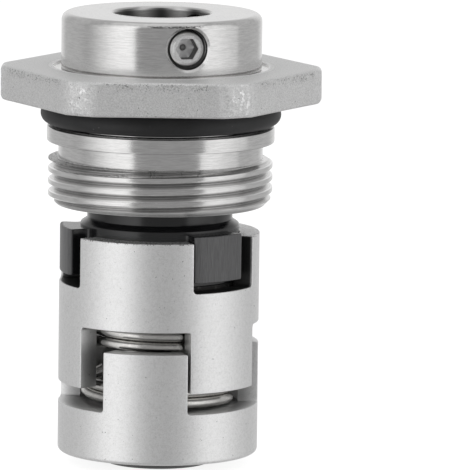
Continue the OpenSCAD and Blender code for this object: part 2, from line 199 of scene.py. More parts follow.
def refine(points, spacing, closed=False):
    """Adds points on a line so that no step is longer than the spacing; the given points stay.
    The first two columns are measured, and any further ones are carried along."""
    line = np.concatenate([points, points[:1]]) if closed else points
    length = np.linalg.norm(np.diff(line[:, :2], axis=0), axis=1)
    steps = np.maximum(1, np.ceil(length / spacing)).astype(int)
    start = np.repeat(np.arange(len(steps)), steps)
    share = (np.arange(steps.sum()) - np.repeat(np.cumsum(steps) - steps, steps)) / steps[start]
    fine = line[start] + (line[start + 1] - line[start]) * share[:, None]
    return fine if closed else np.concatenate([fine, line[-1:]])


class Skin:
    """Collects grids of points and welds them to one closed mesh."""

    def __init__(self):
        self.points, self.faces, self.count = [], [], 0

    def add(self, points, faces):
        """Adds points of shape (n, 3) with faces that index them."""
        self.points.append(points.reshape(-1, 3))
        self.faces.append(faces + self.count)
        self.count += len(self.points[-1])

    def grid(self, points, around_rows=False, around_columns=False):
        """Quads between neighbouring rows and columns of points of shape (rows, columns, 3)."""
        rows, columns = points.shape[:2]
        index = np.arange(rows * columns).reshape(rows, columns)
        index = np.concatenate([index, index[:1]]) if around_rows else index
        index = np.concatenate([index, index[:, :1]], 1) if around_columns else index
        corners = [index[:-1, :-1], index[:-1, 1:], index[1:, 1:], index[1:, :-1]]
        self.add(points, np.stack(corners, -1).reshape(-1, 4))

    def window(self, points, holes):
        """The same grid, closed along its columns, without the cells marked in the holes mask."""
        rows, columns = points.shape[:2]
        index = np.arange(rows * columns).reshape(rows, columns)
        index = np.concatenate([index, index[:, :1]], 1)
        corners = [index[:-1, :-1], index[:-1, 1:], index[1:, 1:], index[1:, :-1]]
        self.add(points, np.stack(corners, -1)[~holes])

    def zipper(self, ring_a, turn_a, ring_b, turn_b):
        """Triangles between two rings with unlike point counts: going round by azimuth, each point
        makes one triangle with the next point of its own ring and the last one of the other."""
        count_a, count_b = len(ring_a), len(ring_b)
        turns = np.concatenate([turn_a, turn_b])
        order = np.argsort(turns, kind="stable")
        from_a = order < count_a
        seen_a, seen_b = np.cumsum(from_a), np.cumsum(~from_a)
        at_a, at_b = (seen_a - 1) % count_a, (seen_b - 1) % count_b + count_a
        next_a = (np.where(from_a, seen_a - 2, seen_a - 1)) % count_a
        next_b = (np.where(from_a, seen_b - 1, seen_b - 2)) % count_b + count_a
        old_other = np.where(from_a, next_b, next_a)
        old_own = np.where(from_a, next_a, next_b)
        own = np.where(from_a, at_a, at_b)
        faces = np.stack([old_own, own, old_other, old_other], -1)
        self.add(np.concatenate([ring_a, ring_b]), faces)

    def build(self, name, crease=32.0, even=True):
        """Makes the object: equal points are merged, faces turned outwards, edges over the crease
        angle stay sharp and the rest is shaded smooth."""
        mesh = bpy.data.meshes.new(name)
        faces = np.concatenate(self.faces)
        triangle = faces[:, 2] == faces[:, 3]
        sides = [face[:3] for face in faces[triangle].tolist()] + faces[~triangle].tolist()
        mesh.from_pydata((np.concatenate(self.points) / PER_METRE).tolist(), [], sides)
        work = bmesh.new()
        work.from_mesh(mesh)
        bmesh.ops.remove_doubles(work, verts=work.verts, dist=MERGE_WITHIN)
        bmesh.ops.dissolve_degenerate(work, edges=work.edges, dist=MERGE_WITHIN)
        bmesh.ops.recalc_face_normals(work, faces=work.faces)
        work.to_mesh(mesh)
        open_edges = sum(1 for edge in work.edges if not edge.is_manifold)
        work.free()
        print("mesh", name, len(mesh.polygons), "faces,", open_edges, "open edges")
        mesh.polygons.foreach_set("use_smooth", np.ones(len(mesh.polygons), bool))
        mesh.set_sharp_from_angle(angle=math.radians(crease))
        piece = bpy.data.objects.new(name, mesh)
        bpy.context.collection.objects.link(piece)
        if even:
            shading = piece.modifiers.new("even_shading", "WEIGHTED_NORMAL")
            shading.keep_sharp = True
            shading.weight = 70
        return piece


def turned(skin, profile, columns=288):
    """A closed profile of radius and height, carried round the axis."""
    azimuth = np.arange(columns) * 360 / columns
    skin.grid(around(profile[:, 0][:, None], azimuth[None], profile[:, 1][:, None]), True, True)


def collar_radius(z):
    """Outside of the drive collar at a height: straight, then rounded over at the top."""
    rise = np.clip(z - (Z_TOP - COLLAR_ROUND), 0, COLLAR_ROUND)
    return R_COLLAR - COLLAR_ROUND + np.sqrt(COLLAR_ROUND**2 - rise**2)


def bore_radius(z):
    """Inside of the sleeve, the same at every height."""
    return np.full_like(z, R_BORE, dtype=float)


def sleeve_wall(skin, radius_at, columns, rows, half_width):
    """A wall of revolution given by radius_at(z), from which a block of cells is left out round each
    set screw, over all rows and to the half width in degrees at either side.

    Returns the rim of such a window, going round it once: its distance to the side of the screw's
    axis, its height, and its angle round the screw."""
    azimuth = np.concatenate([SCREW_AZ + THIRD * turn + columns[:-1] for turn in range(3)])
    points = around(radius_at(rows)[:, None], azimuth[None], rows[:, None])
    slack = 1e-6
    inside = np.abs(columns) <= half_width + slack
    holes = np.tile(inside[:-1] & inside[1:], 3)
    skin.window(points, np.broadcast_to(holes, (len(rows) - 1, len(holes))))
    across = columns[inside]
    right = np.full(len(rows) - 1, across[-1])
    left = np.full(len(rows) - 1, across[0])
    low = np.full(len(across) - 1, rows[0])
    high = np.full(len(across) - 1, rows[-1])
    rim_az = np.concatenate([across[:-1], right, across[:0:-1], left])
    rim_z = np.concatenate([low, rows[:-1], high, rows[:0:-1]])
    rim_side = radius_at(rim_z) * np.sin(np.radians(rim_az))
    return rim_side, rim_z, np.arctan2(rim_z - Z_SCREW, rim_side)


def on_wall(side, z, radius_at, turn):
    """Point of the wall at a distance to the side of the screw's axis and a height."""
    radius = radius_at(z)
    return around(radius, SCREW_AZ + THIRD * turn + np.degrees(np.arcsin(side / radius)), z)


def along_screw(turn, depth, side, up):
    """Points in a set screw's own frame: outwards along its axis, to its side, and upwards."""
    way = math.radians(SCREW_AZ + THIRD * turn)
    outwards = np.array([math.sin(way), -math.cos(way), 0])
    beside = np.array([math.cos(way), math.sin(way), 0])
    upright = np.array([0, 0, 1.0])
    return depth[..., None] * outwards + side[..., None] * beside + (Z_SCREW + up)[..., None] * upright


def screw_wave(depth, angle):
    """The set screws' thread: 0 to 1 and back over each pitch, along a helix of depth and angle."""
    return np.abs(((depth - angle / (2 * math.pi) * SCREW_PITCH) / SCREW_PITCH % 1) * 2 - 1)


def fill_window(skin, rim, radius, radius_at, turn):
    """Closes a window but for the screw's hole, by rays from the hole's edge to the window's rim:
    point = circle + (rim - circle) * share, seen along the screw. Returns the circle."""
    rim_side, rim_z, angle = rim
    side, z = radius * np.cos(angle), Z_SCREW + radius * np.sin(angle)
    share = np.linspace(0, 1, 9)[:, None]
    rays = on_wall(side + (rim_side - side) * share, z + (rim_z - z) * share, radius_at, turn)
    skin.grid(rays, False, True)
    return side, z


def tapped_hole(skin, outer_rim, inner_rim, turn):
    """A set screw's hole from the collar's outside to the bore: the first step is the countersink,
    and the rest is the tapped wall, whose thread is a shallow wave along a helix."""
    mouth_side, mouth_z = fill_window(skin, outer_rim, R_HOLE_MOUTH, collar_radius, turn)
    end_side, end_z = fill_window(skin, inner_rim, R_HOLE, bore_radius, turn)
    start = on_wall(mouth_side, mouth_z, collar_radius, turn)
    lean = np.cos(np.arcsin(mouth_side / collar_radius(mouth_z)))
    start_depth = np.hypot(start[:, 0], start[:, 1]) * lean
    end_depth = np.sqrt(R_BORE**2 - end_side**2)
    steps = 21
    step = np.arange(steps + 1)[:, None]
    twist = np.unwrap(inner_rim[2] - outer_rim[2] + math.pi) - math.pi
    angle = outer_rim[2] + twist * step / steps
    below = start_depth - HOLE_SINK
    tapped = below + (end_depth - below) * (step - 1) / (steps - 1)
    depth = np.where(step > 0, tapped, start_depth)
    wave = 0.072 * (1 - screw_wave(depth, angle)) * ((step > 2) & (step < steps))
    radius = np.where(step > 0, R_HOLE, R_HOLE_MOUTH) - wave
    side = np.where(step < steps, radius * np.cos(angle), end_side)
    up = np.where(step < steps, radius * np.sin(angle), end_z - Z_SCREW)
    tube = along_screw(turn, depth, side, up)
    tube[0], tube[-1] = start, on_wall(end_side, end_z, bore_radius, turn)
    skin.grid(tube, False, True)


def make_shaft_sleeve():
    """Turned sleeve: tube with two drive flats, thick stretch and collar; the three tapped holes
    run from the collar's outside to the bore, with a small countersink."""
    skin = Skin()
    near, wide, last = 14.6, 27.5, 92.5
    columns = np.concatenate([
        np.linspace(-wide, -near, 9), np.linspace(-near, near, 25)[1:],
        np.linspace(near, wide, 9)[1:], np.linspace(wide, last, 41)[1:],
    ])
    window_end = 58.2
    round_low = np.radians(np.linspace(0, window_end, 13))[1:]
    round_high = np.radians(np.linspace(window_end, 90, 8))
    z_round = Z_TOP - COLLAR_ROUND
    collar_rows = np.concatenate([
        np.linspace(Z_COLLAR + 0.55, z_round, 29), z_round + COLLAR_ROUND * np.sin(round_low),
    ])
    bore_rows = np.linspace(Z_SCREW - 2.8, Z_SCREW + 2.8, 25)
    outer_rim = sleeve_wall(skin, collar_radius, columns, collar_rows, near)
    inner_rim = sleeve_wall(skin, bore_radius, columns, bore_rows, wide)
    for turn in range(3):
        tapped_hole(skin, outer_rim, inner_rim, turn)
    azimuth = np.concatenate([SCREW_AZ + THIRD * turn + columns[:-1] for turn in range(3)])
    z_high = z_round + COLLAR_ROUND * np.sin(round_high)
    top = np.concatenate([
        np.stack([collar_radius(z_high), z_high], -1),
        [[11.2, Z_TOP], [9.5, Z_TOP], [8, Z_TOP]],
        [[R_BORE + 0.33, Z_TOP], [R_BORE + 0.28, Z_TOP - 0.01], [R_BORE + 0.25, Z_TOP - 0.035]],
        [[R_BORE + 0.02, Z_TOP - 0.25], [R_BORE, Z_TOP - 0.29], [R_BORE, bore_rows[-1]]],
    ])
    skin.grid(around(top[:, 0][:, None], azimuth[None], top[:, 1][:, None]), False, True)
    under_collar = [
        [R_COLLAR, collar_rows[0]], [R_COLLAR, Z_COLLAR + 0.2], [R_COLLAR - 0.02, Z_COLLAR + 0.09],
        [R_COLLAR - 0.08, Z_COLLAR + 0.02], [R_COLLAR - 0.2, Z_COLLAR], [R_STEP + 0.1, Z_COLLAR],
    ]
    thick_stretch = [
        [R_STEP, Z_COLLAR - 0.1], [R_STEP, Z_STEP + 1.35], [R_STEP - 0.04, Z_STEP + 1.26],
        [R_TUBE + 0.04, Z_STEP + 0.04], [R_TUBE, Z_STEP - 0.05],
    ]
    low, high = SNAP_GROOVE
    tube = [
        [R_TUBE, 30], [R_TUBE, 20], [R_TUBE, Z_RIM + 0.05], [R_TUBE, Z_RIM + 0.03],
        [R_TUBE, Z_RIM - 0.03], [R_TUBE, 4], [R_TUBE, high + 0.01], [R_SNAP_GROOVE, high],
        [R_SNAP_GROOVE, low], [R_TUBE, low - 0.01], [R_TUBE, 0.52], [R_TUBE - 0.02, 0.45],
        [R_TUBE - 0.45, 0.02], [R_TUBE - 0.52, 0], [R_BORE + 0.12, 0], [R_BORE + 0.02, 0.04],
    ]
    low, high = SHAFT_GROOVE
    bore = [
        [R_BORE, 0.12], [R_BORE, 20], [R_BORE, low - 0.01], [R_SHAFT_GROOVE, low],
        [R_SHAFT_GROOVE, high], [R_BORE, high + 0.01], [R_BORE, bore_rows[0]],
    ]
    wall = np.array(under_collar + thick_stretch + tube + bore)
    lower = around(wall[:, 0][:, None], azimuth[None], wall[:, 1][:, None])
    on_flats = (wall[:, 1] < Z_RIM) & (wall[:, 0] > R_BORE + 0.03)
    lower[on_flats, :, 0] = np.clip(lower[on_flats, :, 0], -TUBE_FLAT, TUBE_FLAT)
    skin.grid(lower, False, True)
    return skin.build("sleeve_turned")


def make_set_screw(number):
    """Headless screw along its hole: loops of radius, depth and angle round the screw, which pass
    from the threaded outside over the end face into the hexagon socket and its drilled cone."""
    skin = Skin()
    sides = 96
    angle = np.radians(np.arange(sides) * 360 / sides)[None]
    tip, end = R_BORE + 0.8, R_COLLAR - 0.7
    across = SOCKET_FLAT / np.cos(angle % (math.pi / 3) - math.pi / 6)
    socket = np.minimum(across, 1.41)
    depths = np.linspace(tip + 0.72, end - 0.42, 70)[:, None]
    fade = np.minimum(np.minimum((depths - tip - 0.7) / 0.5, (end - 0.4 - depths) / 0.3), 1)
    body = R_SCREW - 0.3 * screw_wave(depths, angle) * np.maximum(fade, 0)

    def loops(pairs, start, way, form=0 * angle):
        """Loops of a radius, on top of the form, at a distance from one end of the screw."""
        return [(form + radius, start + way * distance) for radius, distance in pairs]

    loops_at = loops([(0, 1.25), (1.2, 0.05), (1.3, 0), (1.8, 0)], tip, 1)
    loops_at += [(body[:1], tip + 0.7)]
    loops_at += [(body[row : row + 1], float(depths[row, 0])) for row in range(len(depths))]
    loops_at += loops([(2.44, 0.85), (2.16, 0.6), (2.14, 0.55), (2.12, 0.32)], end, -1)
    loops_at += loops([(1.78, 0.05), (1.72, 0), (1.6, 0)], end, -1)
    loops_at += loops([(0.04, 0), (0.01, 0.03), (0, 0.08), (0, 1.2), (0, 2.0)], end, -1, socket)
    loops_at += loops([(1.2, 2.1), (0.44, 2.14), (0.4, 2.2), (0, 2.6)], end, -1)
    radius = np.concatenate([loop[0] for loop in loops_at])
    depth = np.array([loop[1] for loop in loops_at])[:, None]
    side, up = radius * np.cos(angle), radius * np.sin(angle)
    skin.grid(along_screw(number - 1, depth, side, up), False, True)
    return skin.build(f"screw_turned_{number}", crease=28)


def hexagon_radius(azimuth):
    """Hexagon with rounded corners: flat sides follow flat / cos, and near a corner the radius is
    where the ray leaves the corner's circle."""
    off = np.radians((azimuth - HEX_AZ) % 60 - 30)
    centre = (HEX_FLAT - HEX_ROUND) / math.cos(math.pi / 6)
    flat = HEX_FLAT / np.cos(math.pi / 6 - np.abs(off))
    inside = HEX_ROUND**2 - (centre * np.sin(off)) ** 2
    corner = centre * np.cos(off) + np.sqrt(np.maximum(inside, 0))
    reach = math.atan2(HEX_ROUND / 2, centre + HEX_ROUND * math.cos(math.pi / 6))
    return np.where(np.abs(off) < reach, corner, flat)


# The gland's thread: distances from the crest's middle, and how deep the form lies there
THREAD_PLACE = np.array([0, 0.2, 0.245, 0.285, 0.68, 0.71, 0.75])
THREAD_DEPTH = np.array([0, 0, 0.012, 0.055, 0.74, 0.775, 0.78])


def thread_radius(azimuth, z):
    """Right-hand thread as a height over azimuth and z: the distance from the nearest crest, which
    climbs a pitch each turn, is looked up in the thread's form. Its start is chamfered."""
    off = np.abs((z - Z_CREST - PITCH * azimuth / 360 + PITCH / 2) % PITCH - PITCH / 2)
    radius = R_THREAD - np.interp(off, THREAD_PLACE, THREAD_DEPTH)
    return np.minimum(radius, R_THREAD - 1 + z - Z_GLAND)


def make_gland():
    """Cast hexagon with its turned recess, groove, land, neck and right-hand thread. The thread's
    rows climb with the helix and are held between its lower and upper end."""
    skin = Skin()
    columns = 384
    azimuth = np.arange(columns + 1) * 360 / columns
    form = np.concatenate([THREAD_PLACE[:-1], [0.45, 1.05], PITCH - THREAD_PLACE[1:]])
    form = np.unique(np.round(form, 4))
    heights = (Z_CREST + (np.arange(9)[:, None] - 6) * PITCH + form[None]).ravel()
    z = np.clip(heights[:, None] + PITCH * azimuth[None] / 360, Z_GLAND, Z_THREAD)
    used = (z.max(1) > Z_GLAND) | (np.roll(z.max(1), -1) > Z_GLAND)
    used &= (z.min(1) < Z_THREAD) | (np.roll(z.min(1), 1) < Z_THREAD)
    skin.grid(around(thread_radius(azimuth[None], z[used]), azimuth[None], z[used]))
    turn = azimuth[:-1]
    hexagon = hexagon_radius(turn)
    neck_and_land = (
        (R_NECK + 0.15, Z_THREAD + 0.01), (R_NECK + 0.05, Z_THREAD + 0.04), (R_NECK, Z_THREAD + 0.12),
        (R_NECK, Z_THREAD + 0.3), (R_NECK, Z_THREAD + 1.1), (R_NECK, Z_NECK - 0.4),
        (R_NECK, Z_NECK - 0.2), (R_NECK + 0.05, Z_NECK - 0.04), (R_NECK + 0.2, Z_NECK),
        (R_LAND - 0.14, Z_NECK), (R_LAND - 0.06, Z_NECK + 0.03), (R_LAND - 0.02, Z_NECK + 0.1),
        (R_LAND, Z_NECK + 0.2), (R_LAND, Z_NECK + 0.35), (R_LAND, Z_LAND - 0.3),
        (R_LAND, Z_LAND - 0.14), (R_LAND - 0.03, Z_LAND - 0.06), (R_LAND - 0.1, Z_LAND),
        (R_GROOVE + 0.13, Z_LAND), (R_GROOVE, Z_LAND + 0.1), (R_GROOVE, Z_HEX - 0.1),
        (R_GROOVE + 0.13, Z_HEX),
    )
    recess_and_bore = (
        (R_RECESS + 0.09, Z_HEX_TOP), (R_RECESS + 0.03, Z_HEX_TOP - 0.02),
        (R_RECESS, Z_HEX_TOP - 0.06), (R_RECESS, Z_COLLAR + 0.02), (R_RECESS - 0.03, Z_COLLAR),
        (R_THROAT + 0.1, Z_COLLAR), (R_THROAT, Z_COLLAR - 0.1), (R_THROAT, Z_THROAT + 0.02),
        (R_THROAT - 0.02, Z_THROAT), (R_TUBE_ROOM + 0.05, Z_THROAT), (R_TUBE_ROOM, Z_THROAT - 0.05),
        (R_TUBE_ROOM, Z_SEAT_BACK + 0.02), (R_TUBE_ROOM + 0.02, Z_SEAT_BACK),
        (R_SEAT_BORE - 0.02, Z_SEAT_BACK), (R_SEAT_BORE, Z_SEAT_BACK - 0.02),
        (R_SEAT_BORE, Z_GLAND + 0.2), (R_SEAT_BORE + 0.2, Z_GLAND),
    )
    # Heights over the hexagon's underside, and how far its corners are turned back there
    corner_rows = (
        (0, 0.5), (0.03, 0.36), (0.1, 0.25), (0.25, 0.12), (0.5, 0.0), (1.4, 0.0), (2.4, 0.0),
        (3.4, 0.0), (3.8, 0.0), (4.05, 0.1), (4.2, 0.22), (4.27, 0.32), (HEX_THICKNESS, 0.48),
    )
    edge = 0.26
    rows = [around(thread_radius(turn, np.full(columns, Z_THREAD)), turn, Z_THREAD)]
    rows += [around(radius, turn, height) for radius, height in neck_and_land]
    for height, back in corner_rows:
        soft = max(0.0, edge - min(height, HEX_THICKNESS - height)) ** 2 / edge
        rows.append(around(np.minimum(hexagon - soft, R_TURNED_CORNER - back), turn, Z_HEX + height))
    rim = R_RECESS + 0.09
    outline = np.minimum(hexagon - edge, R_TURNED_CORNER - corner_rows[-1][1])
    rows += [around(rim + (outline - rim) * share, turn, Z_HEX_TOP) for share in (0.75, 0.5, 0.25)]
    rows += [around(radius, turn, height) for radius, height in recess_and_bore]
    rows.append(around(thread_radius(turn, np.full(columns, Z_GLAND)), turn, Z_GLAND))
    skin.grid(np.stack(rows), False, True)
    return skin.build("gland_threaded", crease=30, even=False)


def make_ring_seal(name, centre, z, width):
    """An O-ring: a circle of the given width carried round the axis at the centre radius."""
    skin = Skin()
    sides = 48
    angle = np.radians(np.arange(sides) * 360 / sides)
    radius, height = centre + width / 2 * np.cos(angle), z + width / 2 * np.sin(angle)
    turned(skin, np.stack([radius, height], -1), 256)
    return skin.build(name, crease=60)


def make_stationary_ring():
    """The upper seal ring: a stepped closed profile with lapped nose, carried round the axis."""
    skin = Skin()
    nose, spigot, z_body_top = 9.07, 8.9, Z_SEAT_BODY + 1.9
    corners = [
        (R_TUBE_ROOM, Z_FACE), (nose, Z_FACE), (nose, Z_SEAT_BODY), (R_SEAT, Z_SEAT_BODY),
        (R_SEAT, z_body_top), (spigot, z_body_top), (spigot, Z_SEAT_BACK), (R_TUBE_ROOM, Z_SEAT_BACK),
    ]
    radii = [0.1, 0.09, 0.25, 0.15, 0.15, 0.1, 0.15, 0.1]
    turned(skin, closed_profile(corners, radii, steps=4, spacing=1.2))
    return skin.build("seat_ring_lapped")


def rounded_round(corners, radii, spread, sign, arc_points, spacing):
    """A path of right-angled corners that goes once round the drum, with a quarter circle at each:
    point = middle - radius * (cos * ahead + sin * back). No step is longer than the spacing.

    Returns rows of the distance round the drum, the path's other coordinate, the two parts of the
    normal, and the spread. The sign turns the normal at every second and third corner of four."""
    corners, radii, spread = np.array(corners), np.array(radii), np.array(spread)
    whole = 2 * math.pi * R_DRUM
    ahead, back = np.roll(corners, -1, 0), np.roll(corners, 1, 0)
    ahead[-1, 0] += whole
    back[0, 0] -= whole
    to_back, to_ahead = np.sign(back - corners), np.sign(ahead - corners)
    middle = corners + (to_back + to_ahead) * radii[:, None]
    turn = np.linspace(0, math.pi / 2, arc_points)[None, :, None]
    outward = np.cos(turn) * to_ahead[:, None] + np.sin(turn) * to_back[:, None]
    line = middle[:, None] - radii[:, None, None] * outward
    signs = np.where(np.isin(np.arange(len(corners)) % 4, (1, 2)), sign, -sign)
    slant = np.broadcast_to(spread[:, None, None], (*line.shape[:2], 1))
    rows = np.concatenate([line, outward * signs[:, None, None], slant], 2).reshape(-1, 5)
    return refine(np.concatenate([rows, rows[:1] + [whole, 0, 0, 0, 0]]), spacing)[:-1]


def castellation(first_az, slot_span, z_closed, z_open, floor_round, tip_round, shift):
    """Edge of a wall with three slots, unrolled at the drum's radius: round the drum it runs along a
    slot's floor, up its side, over the tooth and down again, with a round at every corner.

    Returns the distance round the drum, the height, the normal pointing out of the wall, and a
    distance round the drum for the far side of the wall, which spreads the points of the upright
    sides into the tooth, so that lines to them never cross the slot."""
    half = math.radians(slot_span / 2) * R_DRUM
    way = 1 if z_open > z_closed else -1
    down, up = z_closed * way, z_open * way
    corners, radii, spread = [], [], []
    for turn in range(3):
        middle = math.radians(first_az + THIRD * turn) * R_DRUM
        corners += [(middle - half, up), (middle - half, down)]
        corners += [(middle + half, down), (middle + half, up)]
        radii += [tip_round, floor_round, floor_round, tip_round]
        spread += [-shift, 0, 0, shift]
    x, z, normal_x, normal_z, slant = rounded_round(corners, radii, spread, 1, 8, 0.3).T
    normal = np.stack([normal_x, normal_z * way], -1) / np.hypot(normal_x, normal_z)[:, None]
    return x, z * way, normal, x + slant


def unrolled(radius, distance, z):
    """Points from the distance round the drum, measured at the drum's radius."""
    return around(radius, np.degrees(distance / R_DRUM), z)


def toothed_wall(skin, path, z_start, z_floor, hole_radius):
    """Half of a castellated sleeve: outer wall from a plain ring to the toothed edge, a rounded outer
    edge, the slots' radial walls, the inner wall, and the floor plane in to the hole's radius.
    Each part is a grid whose columns follow the toothed edge.

    Returns the plain ring outside, the one in the hole, and the distances of both round the drum."""
    x, z, normal, x_far = path
    z_plane = z_floor - (0.02 if z_start < z_floor else -0.02)
    share = np.linspace(0, 1, 15)[:, None]
    top_x, top_z = x - normal[:, 0] * WALL_EDGE, z - normal[:, 1] * WALL_EDGE
    outer_x, outer_z = x_far + (top_x - x_far) * share, z_start + (top_z - z_start) * share
    skin.grid(unrolled(R_DRUM, outer_x, outer_z), False, True)
    turn = np.linspace(0, math.pi / 2, 5)[:, None]
    lean = WALL_EDGE * (1 - np.sin(turn))
    rolled = R_DRUM - WALL_EDGE * (1 - np.cos(turn))
    skin.grid(unrolled(rolled, x - normal[:, 0] * lean, z - normal[:, 1] * lean), False, True)
    edge_radius = R_DRUM - WALL_EDGE
    radial = edge_radius + (R_DRUM_BORE - edge_radius) * np.linspace(0, 1, 5)[:, None]
    skin.grid(unrolled(radial, x[None], z[None]), False, True)
    share = np.linspace(0, 1, 13)[:, None]
    inner_x, inner_z = x_far + (x - x_far) * share, z_plane + (z - z_plane) * share
    skin.grid(unrolled(R_DRUM_BORE, inner_x, inner_z), False, True)
    floor = R_DRUM_BORE + (hole_radius - R_DRUM_BORE) * np.linspace(0, 1, 4)[:, None]
    skin.grid(unrolled(floor, x_far[None], z_plane), False, True)
    return unrolled(R_DRUM, x_far, z_start), unrolled(hole_radius, x_far, z_plane), x_far


def join_rings(skin, ring_a, far_a, ring_b, far_b):
    """Zips two plain rings together; both are turned to start at the same azimuth."""
    turn_a, turn_b = far_a % (2 * math.pi * R_DRUM), far_b % (2 * math.pi * R_DRUM)
    order_a, order_b = np.argsort(turn_a, kind="stable"), np.argsort(turn_b, kind="stable")
    skin.zipper(ring_a[order_a], turn_a[order_a], ring_b[order_b], turn_b[order_b])


def make_torque_sleeve():
    """Castellated sleeve: web in the middle, prongs above it and legs below, each with three slots."""
    skin = Skin()
    z_upper, z_lower = 20.6, 20.2
    upper = castellation(UPPER_AZ, UPPER_SPAN, Z_CUP, Z_PRONG, FLOOR_ROUND, TIP_ROUND, 3.0)
    lower = castellation(LOWER_AZ, LOWER_SPAN, Z_WEB, Z_LEG, FLOOR_ROUND, TIP_ROUND, 2.6)
    top_out, top_in, top_far = toothed_wall(skin, upper, z_upper, Z_CUP, R_WEB_HOLE)
    low_out, low_in, low_far = toothed_wall(skin, lower, z_lower, Z_WEB, R_WEB_HOLE)
    join_rings(skin, top_out, top_far, low_out, low_far)
    middle, gap = (Z_CUP + Z_WEB) / 2, 0.2
    top_mid, low_mid = top_in.copy(), low_in.copy()
    top_mid[:, 2], low_mid[:, 2] = middle + gap, middle - gap
    skin.grid(np.stack([top_in, top_mid]), False, True)
    skin.grid(np.stack([low_in, low_mid]), False, True)
    join_rings(skin, top_mid, top_far, low_mid, low_far)
    return skin.build("torque_sleeve_blasted", crease=30)


def make_driver():
    """Castellated driver: three tabs over a closed base, whose lower edge is rounded and whose hole
    has two drive flats and a recess for the snap ring."""
    skin = Skin()
    z_plain, edge = 6.2, 0.6
    path = castellation(TAB_AZ + THIRD / 2, THIRD - TAB_SPAN, Z_RIM, Z_TAB, 0.4, 0.2, 2.4)
    _, inner, far = toothed_wall(skin, path, z_plain, Z_RIM, R_DRIVER_HOLE)
    turn = np.radians(np.linspace(0, 90, 9))
    rolled = np.stack([R_DRUM - edge * (1 - np.cos(turn)), Z_DRIVER + edge * (1 - np.sin(turn))], -1)
    z_recess = Z_DRIVER + 1.5
    under = [
        (9.5, Z_DRIVER), (R_SNAP_RECESS + 0.05, Z_DRIVER), (R_SNAP_RECESS, Z_DRIVER + 0.05),
        (R_SNAP_RECESS, z_recess - 0.02), (R_SNAP_RECESS - 0.03, z_recess),
    ]
    hole = [
        (R_DRIVER_HOLE + 0.02, z_recess), (R_DRIVER_HOLE, z_recess + 0.02), (R_DRIVER_HOLE, 5.5),
        (R_DRIVER_HOLE, Z_RIM - 0.02),
    ]
    base = np.concatenate([[(R_DRUM, z_plain), (R_DRUM, 4.4)], rolled, under, hole])
    wall = unrolled(base[:, :1], far[None], base[:, 1:])
    wall[-len(hole) :, :, 0] = np.clip(wall[-len(hole) :, :, 0], -DRIVER_FLAT, DRIVER_FLAT)
    skin.grid(wall, False, True)
    cut = inner.copy()
    cut[:, 0] = np.clip(cut[:, 0], -DRIVER_FLAT, DRIVER_FLAT)
    skin.grid(np.stack([inner, cut]), False, True)
    return skin.build("driver_blasted", crease=30)


def make_rotating_ring():
    """The lower seal ring: turned body and conical nose, and three lugs whose plan is a closed path
    with concave roots and rounded edges; the plan's edge is rolled over 0.12 mm above and below."""
    skin = Skin()
    half, rolled_edge = math.radians(LUG_SPAN / 2) * R_DRUM, 0.12
    corners, radii, spread = [], [], []
    for turn in range(3):
        middle = math.radians(LUG_AZ + THIRD * turn) * R_DRUM
        corners += [(middle - half, R_RING), (middle - half, R_LUG)]
        corners += [(middle + half, R_LUG), (middle + half, R_RING)]
        radii += [0.75, 0.55, 0.55, 0.75]
        spread += [0, 1.4, -1.4, 0]
    x, radius, normal_x, normal_r, slant = rounded_round(corners, radii, spread, -1, 9, 0.35).T
    far = x + slant
    size = np.hypot(normal_x, normal_r)
    normal_x, normal_r = normal_x / size, normal_r / size
    edge = rolled_edge * np.clip((radius - R_RING) / 0.5, 0, 1)
    turn = np.linspace(0, math.pi / 2, 5)[:, None]
    lean, drop = edge * (1 - np.sin(turn)), edge * (1 - np.cos(turn))
    share = np.linspace(0, 1, 6)[:, None]
    flat_x, flat_r = x - normal_x * edge, radius - normal_r * edge
    for z_end, way in ((Z_LUG, 1), (Z_LUG_TOP, -1)):
        flat = unrolled(R_RING + (flat_r - R_RING) * share, far + (flat_x - far) * share, z_end)
        skin.grid(flat, False, True)
        rolled = unrolled(radius - normal_r * lean, x - normal_x * lean, z_end + way * drop)
        skin.grid(rolled, False, True)
    share = np.linspace(0, 1, 9)[:, None]
    low, high = Z_LUG + edge, Z_LUG_TOP - edge
    skin.grid(unrolled(radius[None], x[None], low + (high - low) * share), False, True)
    bore, z_cup, cup = 7.3, Z_RING + 2.25, 8.93
    back = [
        (R_RING, Z_LUG), (R_RING, Z_RING + 0.1), (R_RING - 0.1, Z_RING), (cup + 0.03, Z_RING),
        (cup, Z_RING + 0.03), (cup, z_cup), (bore, z_cup), (bore, 28.0), (bore, Z_FACE - 0.05),
    ]
    nose = [
        (bore + 0.05, Z_FACE), (R_RING_NOSE - 0.09, Z_FACE), (R_RING_NOSE - 0.04, Z_FACE - 0.025),
        (R_RING_NOSE, Z_FACE - 0.07), (R_RING - 0.08, Z_SHOULDER + 0.05),
        (R_RING - 0.02, Z_SHOULDER - 0.04), (R_RING, Z_SHOULDER - 0.14), (R_RING, Z_LUG_TOP),
    ]
    body = np.array(back + nose)
    skin.grid(unrolled(body[:, :1], far[None], body[:, 1:]), False, True)
    return skin.build("rotating_ring_lapped", crease=30)


